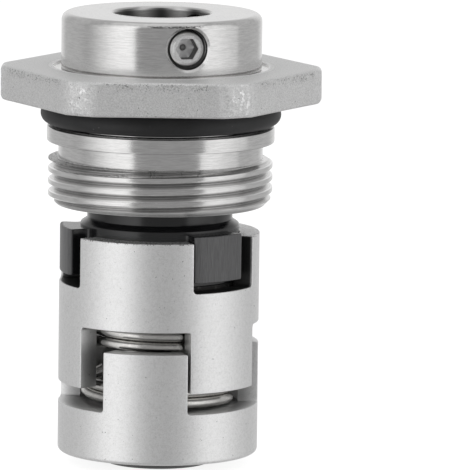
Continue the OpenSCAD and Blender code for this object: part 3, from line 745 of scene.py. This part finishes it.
def make_spring():
    """Left-hand round-wire spring: a circle carried along the helix, whose height falls by close
    turns at both ends and by the open turn between them; the wire's ends are closed flat."""
    turns, close_pitch, first_az, gap = 3.375, 2 * R_WIRE + 0.05, -55, 0.03
    open_from, open_turns = 1.22, 0.66
    steps_a_turn, sides, end_radius = 96, 24, 0.62
    turn = np.linspace(0, turns, int(turns * steps_a_turn))[:, None]
    opening = np.clip((turn - open_from) / open_turns, 0, 1)
    fall = Z_WEB - Z_RIM - 2 * (R_WIRE + gap) - close_pitch * turns
    height = Z_WEB - gap - R_WIRE - close_pitch * turn - fall * opening**2 * (3 - 2 * opening)
    centre = around(R_SPRING, first_az + 360 * turn[:, 0], height[:, 0])
    along = np.gradient(centre, axis=0)
    along /= np.linalg.norm(along, axis=1, keepdims=True)
    outward = centre * [1, 1, 0]
    outward -= (outward * along).sum(1, keepdims=True) * along
    outward /= np.linalg.norm(outward, axis=1, keepdims=True)
    up = np.cross(along, outward)
    angle = np.radians(np.arange(sides) * 360 / sides)[None, :, None]
    size = np.full((len(turn), 1, 1), R_WIRE)
    size[[0, -1]] = end_radius
    circle = np.cos(angle) * outward[:, None] + np.sin(angle) * up[:, None]
    tube = centre[:, None] + size * circle
    skin = Skin()
    skin.grid(tube, False, True)
    for end in (0, -1):
        skin.grid(np.stack([tube[end], np.broadcast_to(centre[end], tube[end].shape)]), False, True)
    return skin.build("spring_wound", crease=50)


class Value:
    """A node's output that takes part in arithmetic: each operation adds its Math node."""

    def __init__(self, graph, socket):
        self.graph, self.socket = graph, socket

    def math(self, operation, *values):
        """A Math node of this value and the others."""
        return self.graph.node("ShaderNodeMath", {"operation": operation}, self, *values)

    def __add__(self, other):
        return self.math("ADD", other)

    def __sub__(self, other):
        return self.math("SUBTRACT", other)

    def __rsub__(self, other):
        return self.graph.node("ShaderNodeMath", {"operation": "SUBTRACT"}, other, self)

    def __mul__(self, other):
        return self.math("MULTIPLY", other)

    def __truediv__(self, other):
        return self.math("DIVIDE", other)

    def __rtruediv__(self, other):
        return self.graph.node("ShaderNodeMath", {"operation": "DIVIDE"}, other, self)

    __radd__ = __add__
    __rmul__ = __mul__

    def fade(self, low, high):
        """0 below the first value, 1 above the second, smooth between them."""
        settings = {"interpolation_type": "SMOOTHSTEP"}
        return self.graph.node("ShaderNodeMapRange", settings, self, low, high)

    def within(self, low, high, soft):
        """1 between two values, fading to 0 over the soft width at both."""
        return self.fade(low - soft, low) * (1 - self.fade(high, high + soft))

    def capped(self):
        """The value, but 1 at most."""
        return self.math("MINIMUM", 1)


class Graph:
    """A node tree under construction."""

    def __init__(self, tree):
        self.tree = tree

    def node(self, kind, settings, *values, out=0, **named):
        """Adds a node: its settings first, a ramp's stops among them, then values or links for its
        sockets, by order or by name. Returns one of its outputs."""
        made = self.tree.nodes.new(kind)
        for key, value in settings.items():
            if key == "stops":
                fill_ramp(made.color_ramp, value)
            else:
                setattr(made, key, value)
        free = [socket for socket in made.inputs if socket.enabled]
        given = [*zip(free, values), *((made.inputs[key], value) for key, value in named.items())]
        for socket, value in given:
            if isinstance(value, Value):
                self.tree.links.new(value.socket, socket)
            else:
                socket.default_value = (*value, 1) if socket.type == "RGBA" else value
        return Value(self, made.outputs[out])


def fill_ramp(ramp, stops):
    """Sets a ramp's stops, given as pairs of a position and a grey."""
    for position, _ in stops[1:-1]:
        ramp.elements.new(position)
    for element, (position, grey) in zip(ramp.elements, stops):
        element.position = position
        element.color = (grey, grey, grey, 1)


class Surface(Graph):
    """A material under construction round its shader, whose constants are set first."""

    def __init__(self, name, constants):
        self.material = bpy.data.materials.new(name)
        self.material.use_nodes = True
        super().__init__(self.material.node_tree)
        self.shader = self.tree.nodes["Principled BSDF"]
        for key, value in constants.items():
            self.shader.inputs[key].default_value = value

    def put(self, name, value):
        """Links a value to one of the shader's sockets."""
        self.tree.links.new(value.socket, self.shader.inputs[name])


class Finish(Surface):
    """A piece's material, with the object's place in millimetres ready to use."""

    def __init__(self, name, colour, metallic=1.0):
        super().__init__(name, {"Base Color": (*colour, 1), "Metallic": metallic})
        place = self.node("ShaderNodeTexCoord", {}, out="Object")
        parts = self.node("ShaderNodeSeparateXYZ", {}, place)
        axes = [Value(self, parts.socket.node.outputs[axis]) * PER_METRE for axis in range(3)]
        self.x, self.y, self.z = axes
        self.radius = (self.x * self.x + self.y * self.y).math("SQRT")

    def spot(self, x, y, z):
        """A vector put together from three values."""
        return self.node("ShaderNodeCombineXYZ", {}, x, y, z)

    def noise(self, where, scale, detail, rough):
        """Noise at a place, with features of about 1 / scale."""
        return self.node(
            "ShaderNodeTexNoise", {}, Vector=where, Scale=scale, Detail=detail, Roughness=rough,
        )

    def grain(self, size, detail=3.0, rough=0.55):
        """Noise with features of the given size in millimetres."""
        return self.noise(self.spot(self.x, self.y, self.z), 1 / size, detail, rough)

    def feed_lines(self, size, detail, rough, spread):
        """Grain that is fine along the profile and drawn out round the axis, by the given spread."""
        ring = spread / self.radius
        where = self.spot(self.x * ring, self.y * ring, self.z + self.radius * 1.31)
        return self.noise(where, 1 / size, detail, rough)

    def mix(self, share, first, second):
        """A colour between two others."""
        return self.node("ShaderNodeMix", {"data_type": "RGBA"}, share, first, second, out=2)

    def relief(self, height, depth):
        """A bump of the given depth in millimetres."""
        distance = depth / PER_METRE
        bump = self.node("ShaderNodeBump", {}, Height=height, Distance=distance, Strength=1.0)
        self.put("Normal", bump)


def tinted(colour, factor):
    """A colour made darker or brighter."""
    return tuple(min(1, part * factor) for part in colour)


def grey(brightness):
    """A grey as a colour."""
    return (brightness, brightness, brightness)


def turned_steel(name, colours):
    """Turned stainless steel: fine feed lines round the axis, a few deeper ones, small handling marks;
    a painted dark reflection at the front of the collar's rounded edge, painted shade on the tube's
    end below the driver, and painted reflection streaks in the bore.
    """
    steel = Finish(name, colours.steel)
    base = colours.steel
    fine = steel.feed_lines(0.16, 5, 0.75, 1.1)
    lines = steel.feed_lines(0.5, 4, 0.8, 0.7)
    cloud = steel.grain(5, 3)
    marks_and_painted_shade = steel.grain(0.34, 2).fade(0.735, 0.77) * steel.grain(4).fade(0.5, 0.62)
    # Painted dark reflection: dark specks in front, where the collar's side meets its rounded edge
    rim = steel.z.within(Z_TOP - 0.62, Z_TOP - 0.42, 0.06)
    rim = rim * steel.radius.fade(R_COLLAR - 0.6, R_COLLAR - 0.3)
    front = steel.x.within(-1.2, 4.6, 0.8) * (1 - steel.y.fade(-4, -2))
    nicks = rim * steel.grain(0.3, 3, 0.7).fade(0.44, 0.56) * front
    # Painted shade: the tube's end below the driver is painted dark
    painted_shade_tail = 1 - steel.z.fade(Z_DRIVER - 0.05, Z_DRIVER + 0.1)
    # Handling marks, with the painted dark reflection and the painted shade added to them
    marks_and_painted_shade = ((marks_and_painted_shade + nicks).capped() + painted_shade_tail).capped()
    # Painted reflection: broad dark streaks along the bore
    bore = 1 - steel.radius.fade(R_BORE + 0.05, R_BORE + 0.17)
    painted_reflection_streak = ((steel.x + cloud * 1.6 - 0.8) * 1.5).math("COSINE") * 0.5 + 0.5
    colour = steel.mix(fine.fade(0.38, 0.62), tinted(base, 0.9), tinted(base, 1.04))
    colour = steel.mix(bore * painted_reflection_streak * 0.88, colour, tinted(base, 0.08))
    steel.put("Base Color", steel.mix(marks_and_painted_shade, colour, tinted(base, 0.2)))
    steel.put("Roughness", 0.1 + fine * 0.08 + cloud * 0.06 + marks_and_painted_shade * 0.2 + bore * 0.2)
    steel.relief(fine * 0.5 + lines * 0.4 - marks_and_painted_shade, 0.0016)
    return steel.material


def blasted_steel(name, colours):
    """Fine blasted stainless steel: an even satin grain with few dark pits and soft clouds, and painted
    shade on the sides of the slots.
    """
    steel = Finish(name, colours.blasted)
    base = colours.blasted
    grit = steel.grain(0.11, 4, 0.7)
    coarse = steel.grain(0.42, 3)
    cloud = steel.grain(4, 3)
    pits = steel.grain(0.3, 1.5).fade(0.745, 0.775)
    # Burrs along the upper ends of the prongs
    burrs = steel.z.within(Z_PRONG - 0.14, Z_PRONG, 0.03)
    burrs = burrs * steel.grain(0.22, 3, 0.7).fade(0.54, 0.6)
    # Painted shade: the sides of the slots are painted dark, the upper ones right from the outer edge
    upper = steel.z.fade(Z_MID_WEB - 0.1, Z_MID_WEB + 0.1)
    upper_painted_shade = (1 - steel.radius.fade(R_DRUM - 0.4, R_DRUM - 0.08)) * upper * 0.92
    lower_painted_shade = (1 - steel.radius.fade(R_DRUM_BORE + 0.3, R_DRUM - 0.08)) * (1 - upper) * 0.5
    painted_slot_shade = (upper_painted_shade + lower_painted_shade) * (1 - steel.z.fade(Z_PRONG - 0.08, Z_PRONG - 0.02))
    speckle = (grit * 0.75 + coarse * 0.25).fade(0.34, 0.6)
    colour = steel.mix(speckle, tinted(base, 0.85), tinted(base, 1.06))
    colour = steel.mix(burrs, colour, grey(0.25))
    colour = steel.mix(pits, colour, tinted(base, 0.3))
    steel.put("Base Color", steel.mix(painted_slot_shade, colour, grey(0.02)))
    steel.put("Roughness", 0.4 + grit * 0.08 + cloud * 0.05 + pits * 0.25)
    steel.relief(grit * 0.8 + coarse * 0.5 - pits * 1.2 + burrs * 2, 0.006)
    return steel.material


def cast_steel(name, colours):
    """Gland: grainy cast hexagon with pits below its upper edge and crackled corners with painted
    glints, and bright turned surfaces below it and in the recess, told apart by height and radius.
    Painted shade lies in the thread's root and under the land, and painted highlights on the
    thread's crest and on the recess's edge."""
    steel = Finish(name, colours.cast)
    rim = R_RECESS + 0.09
    cast = steel.z.fade(Z_HEX - 0.02, Z_HEX + 0.02) * steel.radius.fade(rim, rim + 0.04)
    fine = steel.feed_lines(0.16, 5, 0.75, 1.1)
    grit = steel.grain(0.15, 4, 0.75)
    sand = steel.grain(0.5, 4, 0.7)
    # Pits in a band below the upper edge, apart from the corners, which are crackled and get painted
    # glints
    band = steel.z.fade(Z_HEX_TOP - 1.9, Z_HEX_TOP - 0.5)
    band = band * (1 - steel.z.fade(Z_HEX_TOP - 0.2, Z_HEX_TOP))
    band = band * steel.radius.fade(HEX_FLAT - 2.5, HEX_FLAT - 1.5)
    pits = (steel.grain(0.22, 4, 0.75) + band * 0.1).fade(0.6, 0.7)
    pits = pits * band * steel.grain(1.3, 2).fade(0.3, 0.55) * 0.6
    pits = pits * (1 - steel.radius.fade(HEX_FLAT + 1, HEX_FLAT + 1.5))
    holes = steel.grain(0.33, 1.5).fade(0.74, 0.77)
    crackle_and_painted_glints = steel.radius.fade(HEX_FLAT + 1.2, HEX_FLAT + 1.75)
    crackle_and_painted_glints = crackle_and_painted_glints * steel.grain(0.55, 4, 0.75).fade(0.44, 0.6)
    # Burrs where the thread runs out, most of them at the left
    run_out = steel.z.within(Z_THREAD - 0.22, Z_THREAD + 0.06, 0.04)
    left = (steel.grain(3.3).fade(0.52, 0.66) + 1 - steel.x.fade(-7, -2)).capped()
    burrs = steel.grain(0.25, 3, 0.7).fade(0.46, 0.54) * run_out * left
    # Turned surfaces, with painted shade in the thread's root, a painted highlight on its crest and a
    #     # painted shade line under the land
    base = colours.steel
    lathe = steel.mix(fine.fade(0.38, 0.62), tinted(base, 0.9), tinted(base, 1.04))
    cut = 1 - steel.z.fade(Z_THREAD - 0.1, Z_THREAD)
    cut = cut * steel.radius.fade(R_THREAD - 1, R_THREAD - 0.9)
    painted_root_shade = cut * (1 - steel.radius.fade(R_THREAD - 0.8, R_THREAD - 0.35)) * 0.5
    crest = cut * steel.radius.within(R_THREAD - 0.2, R_THREAD - 0.08, 0.05)
    line = steel.z.within(Z_NECK - 0.07, Z_NECK + 0.03, 0.04)
    line = line * steel.radius.fade(R_NECK + 0.15, R_NECK + 0.25)
    lathe = steel.mix((painted_root_shade + line * 0.75).capped(), lathe, grey(0.1))
    lathe = steel.mix(crest * 0.8, lathe, grey(1))
    raw = steel.mix(grit.fade(0.3, 0.7), tinted(colours.cast, 0.72), tinted(colours.cast, 1.12))
    # Painted highlight: the crackle on the corners is mixed towards white as glints
    raw = steel.mix(crackle_and_painted_glints * 0.8, raw, grey(1))
    # Painted highlight: a white, less metallic ring on the edge of the recess
    edge = steel.radius.within(R_RECESS + 0.06, R_RECESS + 0.5, 0.06)
    edge = edge * steel.z.fade(Z_HEX_TOP - 0.12, Z_HEX_TOP - 0.04)
    colour = steel.mix(edge, steel.mix(cast, lathe, raw), grey(1))
    dirt = ((pits + holes) * cast + burrs).capped()
    steel.put("Base Color", steel.mix(dirt, colour, grey(0.09)))
    steel.put("Metallic", 1 - edge * 0.9)
    # Roughness and relief pass from the turned surfaces to the cast ones
    smooth = 0.13 + fine * 0.1
    coarse = 0.52 + grit * 0.12 - crackle_and_painted_glints * 0.3
    steel.put("Roughness", smooth + (coarse - smooth) * cast + dirt * 0.2)
    turned_height = fine * 0.12 - burrs * 1.5
    cast_height = grit * 1.6 + sand * 3.4 + crackle_and_painted_glints * 3 - (pits + holes) * 3
    steel.relief(turned_height + (cast_height - turned_height) * cast, 0.012)
    return steel.material


def carbide(name, colours):
    """Black silicon carbide: dense and glassy, with fine grinding lines and a cloudy sheen."""
    stone = Finish(name, colours.carbide, 0.0)
    stone.shader.inputs["IOR"].default_value = 1.58
    base = colours.carbide
    # Grinding lines stand upright on the outer faces of the lugs, which are paler than the rest
    across, along = 9, 0.5
    where = stone.spot(stone.x * across, stone.y * across, stone.z * along)
    ground = stone.noise(where, 1, 4, 0.7)
    lug = stone.radius.fade(R_LUG - 0.45, R_LUG - 0.25)
    grit = stone.grain(0.14, 4, 0.7)
    cloud = (ground * 0.7 + grit * 0.5).fade(0.4, 0.75)
    tone = stone.mix(cloud, tinted(base, 0.6), tinted(base, 1.6))
    lug_dark, lug_pale = (0.105, 0.105, 0.107), (0.175, 0.175, 0.178)
    lug_tone = stone.mix(ground.fade(0.3, 0.7), lug_dark, lug_pale)
    stone.put("Base Color", stone.mix(lug, tone, lug_tone))
    stone.put("Roughness", 0.15 + grit * 0.1 + (ground * 0.12 + 0.13) * lug)
    stone.relief(ground * lug + grit * 0.2, 0.004)
    return stone.material


def rubber(name, colours):
    """Moulded black rubber: satin, with a faint bloom and specks of dust."""
    skin = Finish(name, colours.rubber, 0.0)
    base = colours.rubber
    grit = skin.grain(0.2, 4, 0.7)
    bloom = skin.grain(3, 3)
    dust = skin.grain(0.3, 1.5).fade(0.76, 0.79)
    colour = skin.mix(bloom.fade(0.3, 0.7), tinted(base, 0.8), tinted(base, 1.25))
    skin.put("Base Color", skin.mix(dust, colour, grey(0.2)))
    skin.put("Roughness", 0.42 + grit * 0.12 + bloom * 0.06)
    skin.relief(grit, 0.008)
    return skin.material


def drawn_wire(name, colours):
    """Drawn and polished wire: bright, with fine lengthwise scratches and few dull spots."""
    wire = Finish(name, colours.wire)
    base = colours.wire
    scratch = wire.feed_lines(0.09, 4, 0.7, 1.4)
    cloud = wire.grain(1.6, 3)
    colour = wire.mix(scratch.fade(0.35, 0.65), tinted(base, 0.85), tinted(base, 1.08))
    wire.put("Base Color", colour)
    wire.put("Roughness", 0.1 + scratch * 0.08 + cloud * 0.1)
    wire.relief(scratch, 0.004)
    return wire.material


def thrust_steel(name, colours):
    """Thin ground ring at the bottom of the slots, dull and painted dark as shade, with worn bright
    spots.
    """
    steel = Finish(name, colours.wire)
    base = colours.wire
    wear = steel.grain(0.8, 4, 0.7).fade(0.55, 0.7)
    steel.put("Base Color", steel.mix(wear, tinted(base, 0.06), tinted(base, 0.3)))
    steel.put("Roughness", 0.3 + steel.grain(0.2) * 0.2)
    return steel.material


def bright_screw(name, colours):
    """Bright machined screw steel, mottled and with a few nicks. The end face, the socket's walls, its
    floor and the drilled hole differ, and are told apart by the radius; the walls and the drilled
    hole are painted dark as shade."""
    screw = Finish(name, colours.screw)
    base = colours.screw
    grit = screw.grain(0.13, 4, 0.7)
    nicks = screw.grain(0.4, 3, 0.6).fade(0.6, 0.68)
    face = screw.mix(grit.fade(0.35, 0.65), tinted(base, 0.85), tinted(base, 1.15))
    # Painted shade: the socket's walls and the drilled hole below its floor are painted dark
    socket = 1 - screw.radius.fade(R_COLLAR - 1.0, R_COLLAR - 0.84)
    hole = 1 - screw.radius.fade(R_COLLAR - 2.94, R_COLLAR - 2.86)
    floor = (1 - screw.radius.fade(R_COLLAR - 2.66, R_COLLAR - 2.58)) * (1 - hole * 0.7)
    inside = screw.mix(floor, tinted(base, 0.26), tinted(base, 1.15))
    screw.put("Base Color", screw.mix(socket, face, inside))
    screw.put("Roughness", 0.32 + grit * 0.14 + nicks * 0.1 + socket * 0.12)
    screw.relief(grit + nicks * 0.8, 0.01)
    return screw.material


FINISHES = {
    "turned_steel": turned_steel,
    "blasted_steel": blasted_steel,
    "cast_steel": cast_steel,
    "carbide": carbide,
    "rubber": rubber,
    "spring_wire": drawn_wire,
    "screw_steel": bright_screw,
    "thrust_steel": thrust_steel,
}


def finish_of(name):
    """The material for a slot of the record; it is made at its first use."""
    found = bpy.data.materials.get("seal_" + name)
    return found or FINISHES[name]("seal_" + name, bpy.context.scene.seal_colours)


def dress(piece, finish, body, *nodes):
    """Gives a piece its finish and its body, and lets it stand for its CAD nodes."""
    piece.data.materials.clear()
    piece.data.materials.append(finish_of(finish))
    if body:
        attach(piece, body)
    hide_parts(*nodes)
    return piece


# The studio, in metres and degrees
FLOOR_Z = -0.0001
FLOOR_HALF = 4
FLOOR_SHADE, FLOOR_GLOW = 0.4, 0.86
CARD_LOW, CARD_HIGH = -0.6, 0.75
LEFT_AZ, LEFT_HALF_ANGLE = -65, 35
RIGHT_AZ, RIGHT_HALF_ANGLE = 71, 26
# Shares of a card's width between which its glow changes, and how weak its weak side is
LEFT_SHARE, LEFT_WEAK = (0.08, 0.78), 0.38
RIGHT_SHARE, RIGHT_WEAK = (0.25, 0.95), 0.72
LAMP_PLACE, LAMP_AIM = (-0.05, -0.15, 0.95), (0, 0, 0.03)
LAMP_SIZE, LAMP_POWER = 1.2, 1.0
# Camera: its height, and its tilt and roll
CAMERA_Z = 0.1625
CAMERA_TILT, CAMERA_ROLL = 8.19, 0.64
# Width of the sensor in millimetres and of the picture in pixels, and how many pixels right of the
# picture's middle and above it the tilted line of sight meets the seal's axis
SENSOR = 36
PICTURE = 470
AXIS_RIGHT, AXIS_ABOVE = -75.41, 0.39
# Large O-ring under the hexagon: radius of its middle and thickness of its cord, in millimetres
GLAND_RING_RADIUS, GLAND_RING_CORD = 13.75, 2.5


def studio_surface(name, shade, glow):
    """A pale surface that keeps the shadow: diffuse light plus a glow that only the camera sees, so
    that the ground shows white."""
    surface = Surface(name, {})
    seen = surface.node("ShaderNodeLightPath", {}, out="Is Camera Ray")
    diffuse = surface.node("ShaderNodeBsdfDiffuse", {}, (shade, shade, shade))
    emission = surface.node("ShaderNodeEmission", {}, Strength=seen * glow)
    both = surface.node("ShaderNodeAddShader", {}, diffuse, emission)
    surface.tree.links.new(both.socket, surface.tree.nodes["Material Output"].inputs["Surface"])
    surface.tree.nodes.remove(surface.shader)
    return surface.material


def studio_sheet(name, corners, material):
    """A flat sheet between four corners."""
    mesh = bpy.data.meshes.new(name)
    mesh.from_pydata(corners, [], [(0, 1, 2, 3)])
    mesh.materials.append(material)
    sheet = bpy.data.objects.new(name, mesh)
    bpy.context.collection.objects.link(sheet)
    return sheet


def studio_floor():
    """The floor: it shows white and keeps the shadow, and the polished steel doesn't mirror it."""
    half = FLOOR_HALF
    ends = ((-half, -half), (half, -half), (half, half), (-half, half))
    corners = [(x, y, FLOOR_Z) for x, y in ends]
    material = studio_surface("studio_floor", FLOOR_SHADE, FLOOR_GLOW)
    floor = studio_sheet("studio_floor", corners, material)
    floor.visible_glossy = False
    return floor


def studio_card(name, azimuth, half_angle, distance, glow, share):
    """An upright card that glows: a soft box as polished steel sees it. Its glow runs from the
    first value to the last between two shares of the width, to the right."""
    surface = Surface(name, {
        "Base Color": (0, 0, 0, 1),
        "Roughness": 1,
        "Specular IOR Level": 0,
        "Emission Strength": 1,
    })
    place = surface.node("ShaderNodeTexCoord", {}, out="Generated")
    across = surface.node("ShaderNodeSeparateXYZ", {}, place, out="X")
    settings = {"interpolation_type": "SMOOTHSTEP"}
    surface.put("Emission Color", surface.node("ShaderNodeMapRange", settings, across, *share, *glow))
    way = math.radians(azimuth)
    centre = np.array([math.sin(way), -math.cos(way), 0]) * distance
    half = distance * math.tan(math.radians(half_angle))
    side = np.array([math.cos(way), math.sin(way), 0]) * half
    low, high = np.array([0, 0, CARD_LOW]), np.array([0, 0, CARD_HIGH])
    corners = [centre - side + low, centre + side + low, centre + side + high, centre - side + high]
    card = studio_sheet(name, [tuple(corner) for corner in corners], surface.material)
    card.visible_camera = False
    card.visible_shadow = False
    return card


def studio_lamp():
    """A large and weak round lamp above the object, for soft light on upper faces."""
    lamp = bpy.data.lights.new("studio_top", "AREA")
    lamp.shape = "DISK"
    lamp.size = LAMP_SIZE
    lamp.energy = LAMP_POWER
    top = bpy.data.objects.new("studio_top", lamp)
    top.location = LAMP_PLACE
    back = Vector(LAMP_PLACE) - Vector(LAMP_AIM)
    top.rotation_euler = back.to_track_quat("Z", "Y").to_euler()
    bpy.context.scene.collection.objects.link(top)


def studio_world(ground, front):
    """World light: even grey in front of the object, where a studio is dark, brighter beside it and
    palest straight behind it, and white where the camera sees it."""
    world = bpy.data.worlds.new("studio")
    bpy.context.scene.world = world
    world.use_nodes = True
    graph = Graph(world.node_tree)
    place = graph.node("ShaderNodeTexCoord", {}, out="Generated")
    ahead = graph.node("ShaderNodeSeparateXYZ", {}, place, out="Y")
    turn = graph.node("ShaderNodeMapRange", {}, ahead, -1)
    stops = ((0.3, front), (0.62, front * 1.45), (0.9, ground * 0.62), (0.985, ground))
    level = graph.node("ShaderNodeValToRGB", {"stops": stops}, turn)
    seen = graph.node("ShaderNodeLightPath", {}, out="Is Camera Ray")
    strength = graph.node("ShaderNodeMix", {}, seen, level, 1.0)
    background = graph.tree.nodes["Background"]
    background.inputs["Color"].default_value = (1, 1, 1, 1)
    graph.tree.links.new(strength.socket, background.inputs["Strength"])


def studio_camera(lens, stand_off):
    """The camera of the photograph: tilted down a little, with the seal at the left of its middle."""
    camera = bpy.data.cameras.new("camera")
    camera.sensor_width = SENSOR
    camera.lens = lens
    camera.clip_start = 0.01
    camera.clip_end = 20
    view = bpy.data.objects.new("camera", camera)
    bpy.context.scene.collection.objects.link(view)
    view.location = (0, -stand_off, CAMERA_Z)
    pitch = Quaternion((1, 0, 0), math.radians(90 - CAMERA_TILT))
    roll = Quaternion((0, 0, 1), math.radians(CAMERA_ROLL))
    ahead = Vector((AXIS_RIGHT, AXIS_ABOVE, -lens * PICTURE / SENSOR))
    aside = ahead.rotation_difference(Vector((0, 0, -1)))
    view.rotation_mode = "QUATERNION"
    view.rotation_quaternion = pitch @ roll @ aside
    bpy.context.scene.camera = view


def colour_setting(name, description, default):
    """A colour of the panel, with linear values."""
    return bpy.props.FloatVectorProperty(
        name=name, description=description, default=default, subtype="COLOR", min=0, max=1,
    )


def glow_setting(name, description, default):
    """A brightness of the panel."""
    return bpy.props.FloatProperty(name=name, description=description, default=default, min=0)


def length_setting(name, description, default, least):
    """A length of the panel, in metres."""
    return bpy.props.FloatProperty(
        name=name, description=description, default=default, min=least,
        unit="LENGTH", subtype="DISTANCE",
    )


class SealColours(bpy.types.PropertyGroup):
    """Base colours of the finishes, as linear values."""

    steel: colour_setting("Turned steel", "Turned stainless steel", (0.745, 0.74, 0.735))
    blasted: colour_setting("Blasted steel", "Torque sleeve and driver", (0.97, 0.97, 0.965))
    cast: colour_setting("Cast steel", "Hexagon of the gland", (0.95, 0.95, 0.945))
    carbide: colour_setting("Carbide", "Both seal rings", (0.01, 0.01, 0.011))
    rubber: colour_setting("Rubber", "O-rings", (0.02, 0.02, 0.021))
    wire: colour_setting("Wire", "Spring, snap ring and thrust ring", (0.7, 0.69, 0.67))
    screw: colour_setting("Screws", "Set screws", (0.93, 0.925, 0.92))


class SealStudio(bpy.types.PropertyGroup):
    """Lights and camera of the studio."""

    left: glow_setting("Left soft box", "Brightness of the soft box left of the camera", 1.18)
    right: glow_setting("Right soft box", "Brightness of the soft box right of the camera", 1.02)
    front: glow_setting("Front", "World light from the camera's side", 0.345)
    ground: glow_setting("Back", "World light from behind the object", 0.85)
    distance: length_setting("Soft box distance", "From the axis to each soft box", 0.5, 0.2)
    lens: bpy.props.FloatProperty(
        name="Lens", description="Focal length of the camera", default=576.6, min=50, unit="CAMERA",
    )
    stand_off: length_setting("Camera distance", "From the axis forward to the camera", 0.9306, 0.3)


class SEAL_OT_shaft_sleeve(bpy.types.Operator):
    """Build the turned shaft sleeve with its drive collar"""

    bl_idname = "seal.shaft_sleeve"
    bl_label = "Shaft sleeve"

    def execute(self, context):
        dress(make_shaft_sleeve(), "turned_steel", "shaft_unit", "shaft_sleeve")
        return {"FINISHED"}


class SEAL_OT_set_screws(bpy.types.Operator):
    """Build the three set screws in the collar"""

    bl_idname = "seal.set_screws"
    bl_label = "Set screws"

    def execute(self, context):
        for number in (1, 2, 3):
            dress(make_set_screw(number), "screw_steel", f"screw_{number}", f"set_screw_{number}")
        return {"FINISHED"}


class SEAL_OT_gland(bpy.types.Operator):
    """Build the gland with its hexagon and thread"""

    bl_idname = "seal.gland"
    bl_label = "Gland"

    def execute(self, context):
        dress(make_gland(), "cast_steel", "gland_unit", "gland")
        return {"FINISHED"}


class SEAL_OT_seal_rings(bpy.types.Operator):
    """Build the stationary and the rotating seal ring"""

    bl_idname = "seal.seal_rings"
    bl_label = "Seal rings"

    def execute(self, context):
        dress(make_stationary_ring(), "carbide", "gland_unit", "stationary_ring")
        dress(make_rotating_ring(), "carbide", "rotating_head", "rotating_ring")
        return {"FINISHED"}


class SEAL_OT_drive_sleeves(bpy.types.Operator):
    """Build the castellated torque sleeve and driver"""

    bl_idname = "seal.drive_sleeves"
    bl_label = "Drive sleeves"

    def execute(self, context):
        dress(make_torque_sleeve(), "blasted_steel", "rotating_head", "torque_sleeve")
        dress(make_driver(), "blasted_steel", "shaft_unit", "seal_driver")
        return {"FINISHED"}


class SEAL_OT_spring(bpy.types.Operator):
    """Build the spring between the driver and the torque sleeve"""

    bl_idname = "seal.spring"
    bl_label = "Spring"

    def execute(self, context):
        spring = dress(make_spring(), "spring_wire", None, "spring")
        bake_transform(spring)
        return {"FINISHED"}


class SEAL_OT_rubber_rings(bpy.types.Operator):
    """Build the large O-ring under the hexagon"""

    bl_idname = "seal.rubber_rings"
    bl_label = "Large O-ring"

    def execute(self, context):
        moulded = make_ring_seal(
            "gland_ring_moulded", GLAND_RING_RADIUS, Z_GLAND_RING, GLAND_RING_CORD,
        )
        dress(moulded, "rubber", "gland_unit", "gland_o_ring")
        return {"FINISHED"}


KEPT_AS_PACKED = {
    "retaining_ring": "spring_wire",
    "thrust_ring": "thrust_steel",
    "anti_rotation_pin": "spring_wire",
    "shaft_o_ring": "rubber",
    "rotating_o_ring": "rubber",
    "stationary_o_ring": "rubber",
}


class SEAL_OT_small_parts(bpy.types.Operator):
    """Give the pieces that stay as packed their finishes"""

    bl_idname = "seal.small_parts"
    bl_label = "Hidden pieces"

    def execute(self, context):
        for node, finish in KEPT_AS_PACKED.items():
            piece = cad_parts[node]
            piece.data.materials.clear()
            piece.data.materials.append(finish_of(finish))
        return {"FINISHED"}


class SEAL_OT_stage(bpy.types.Operator):
    """Build the pale studio: floor, soft boxes, world light and camera"""

    bl_idname = "seal.stage"
    bl_label = "Studio"

    def execute(self, context):
        studio = context.scene.seal_studio
        reach = studio.distance
        floor = studio_floor()
        glow = (LEFT_WEAK * studio.left, studio.left)
        left = studio_card("studio_left", LEFT_AZ, LEFT_HALF_ANGLE, reach, glow, LEFT_SHARE)
        glow = (studio.right, RIGHT_WEAK * studio.right)
        right = studio_card("studio_right", RIGHT_AZ, RIGHT_HALF_ANGLE, reach, glow, RIGHT_SHARE)
        studio_lamp()
        studio_world(studio.ground, studio.front)
        studio_camera(studio.lens, studio.stand_off)
        context.scene.view_settings.view_transform = "Standard"
        return {"FINISHED"}


OPERATORS = (
    SEAL_OT_shaft_sleeve,
    SEAL_OT_set_screws,
    SEAL_OT_gland,
    SEAL_OT_seal_rings,
    SEAL_OT_drive_sleeves,
    SEAL_OT_spring,
    SEAL_OT_rubber_rings,
    SEAL_OT_small_parts,
    SEAL_OT_stage,
)


class SEAL_PT_panel(bpy.types.Panel):
    """Lists the seal's pieces and its settings"""

    bl_idname = "SEAL_PT_panel"
    bl_label = "Mechanical seal"
    bl_space_type = "VIEW_3D"
    bl_region_type = "UI"
    bl_category = "Seal"

    def draw(self, context):
        for operator in OPERATORS:
            self.layout.operator(operator.bl_idname)
        for group in (context.scene.seal_colours, context.scene.seal_studio):
            for name in group.__annotations__:
                self.layout.prop(group, name)


CLASSES = (SealColours, SealStudio, *OPERATORS, SEAL_PT_panel)


def register():
    """Registers the classes and puts both groups of settings on the scene."""
    for cls in CLASSES:
        bpy.utils.register_class(cls)
    bpy.types.Scene.seal_colours = bpy.props.PointerProperty(type=SealColours)
    bpy.types.Scene.seal_studio = bpy.props.PointerProperty(type=SealStudio)


def unregister():
    """Takes the settings and the classes away again."""
    del bpy.types.Scene.seal_studio
    del bpy.types.Scene.seal_colours
    for cls in reversed(CLASSES):
        bpy.utils.unregister_class(cls)


def main():
    """Registers the add-on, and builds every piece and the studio."""
    register()
    for operator in OPERATORS:
        group, name = operator.bl_idname.split(".")
        getattr(getattr(bpy.ops, group), name)()


if __name__ == "__main__":
    main()
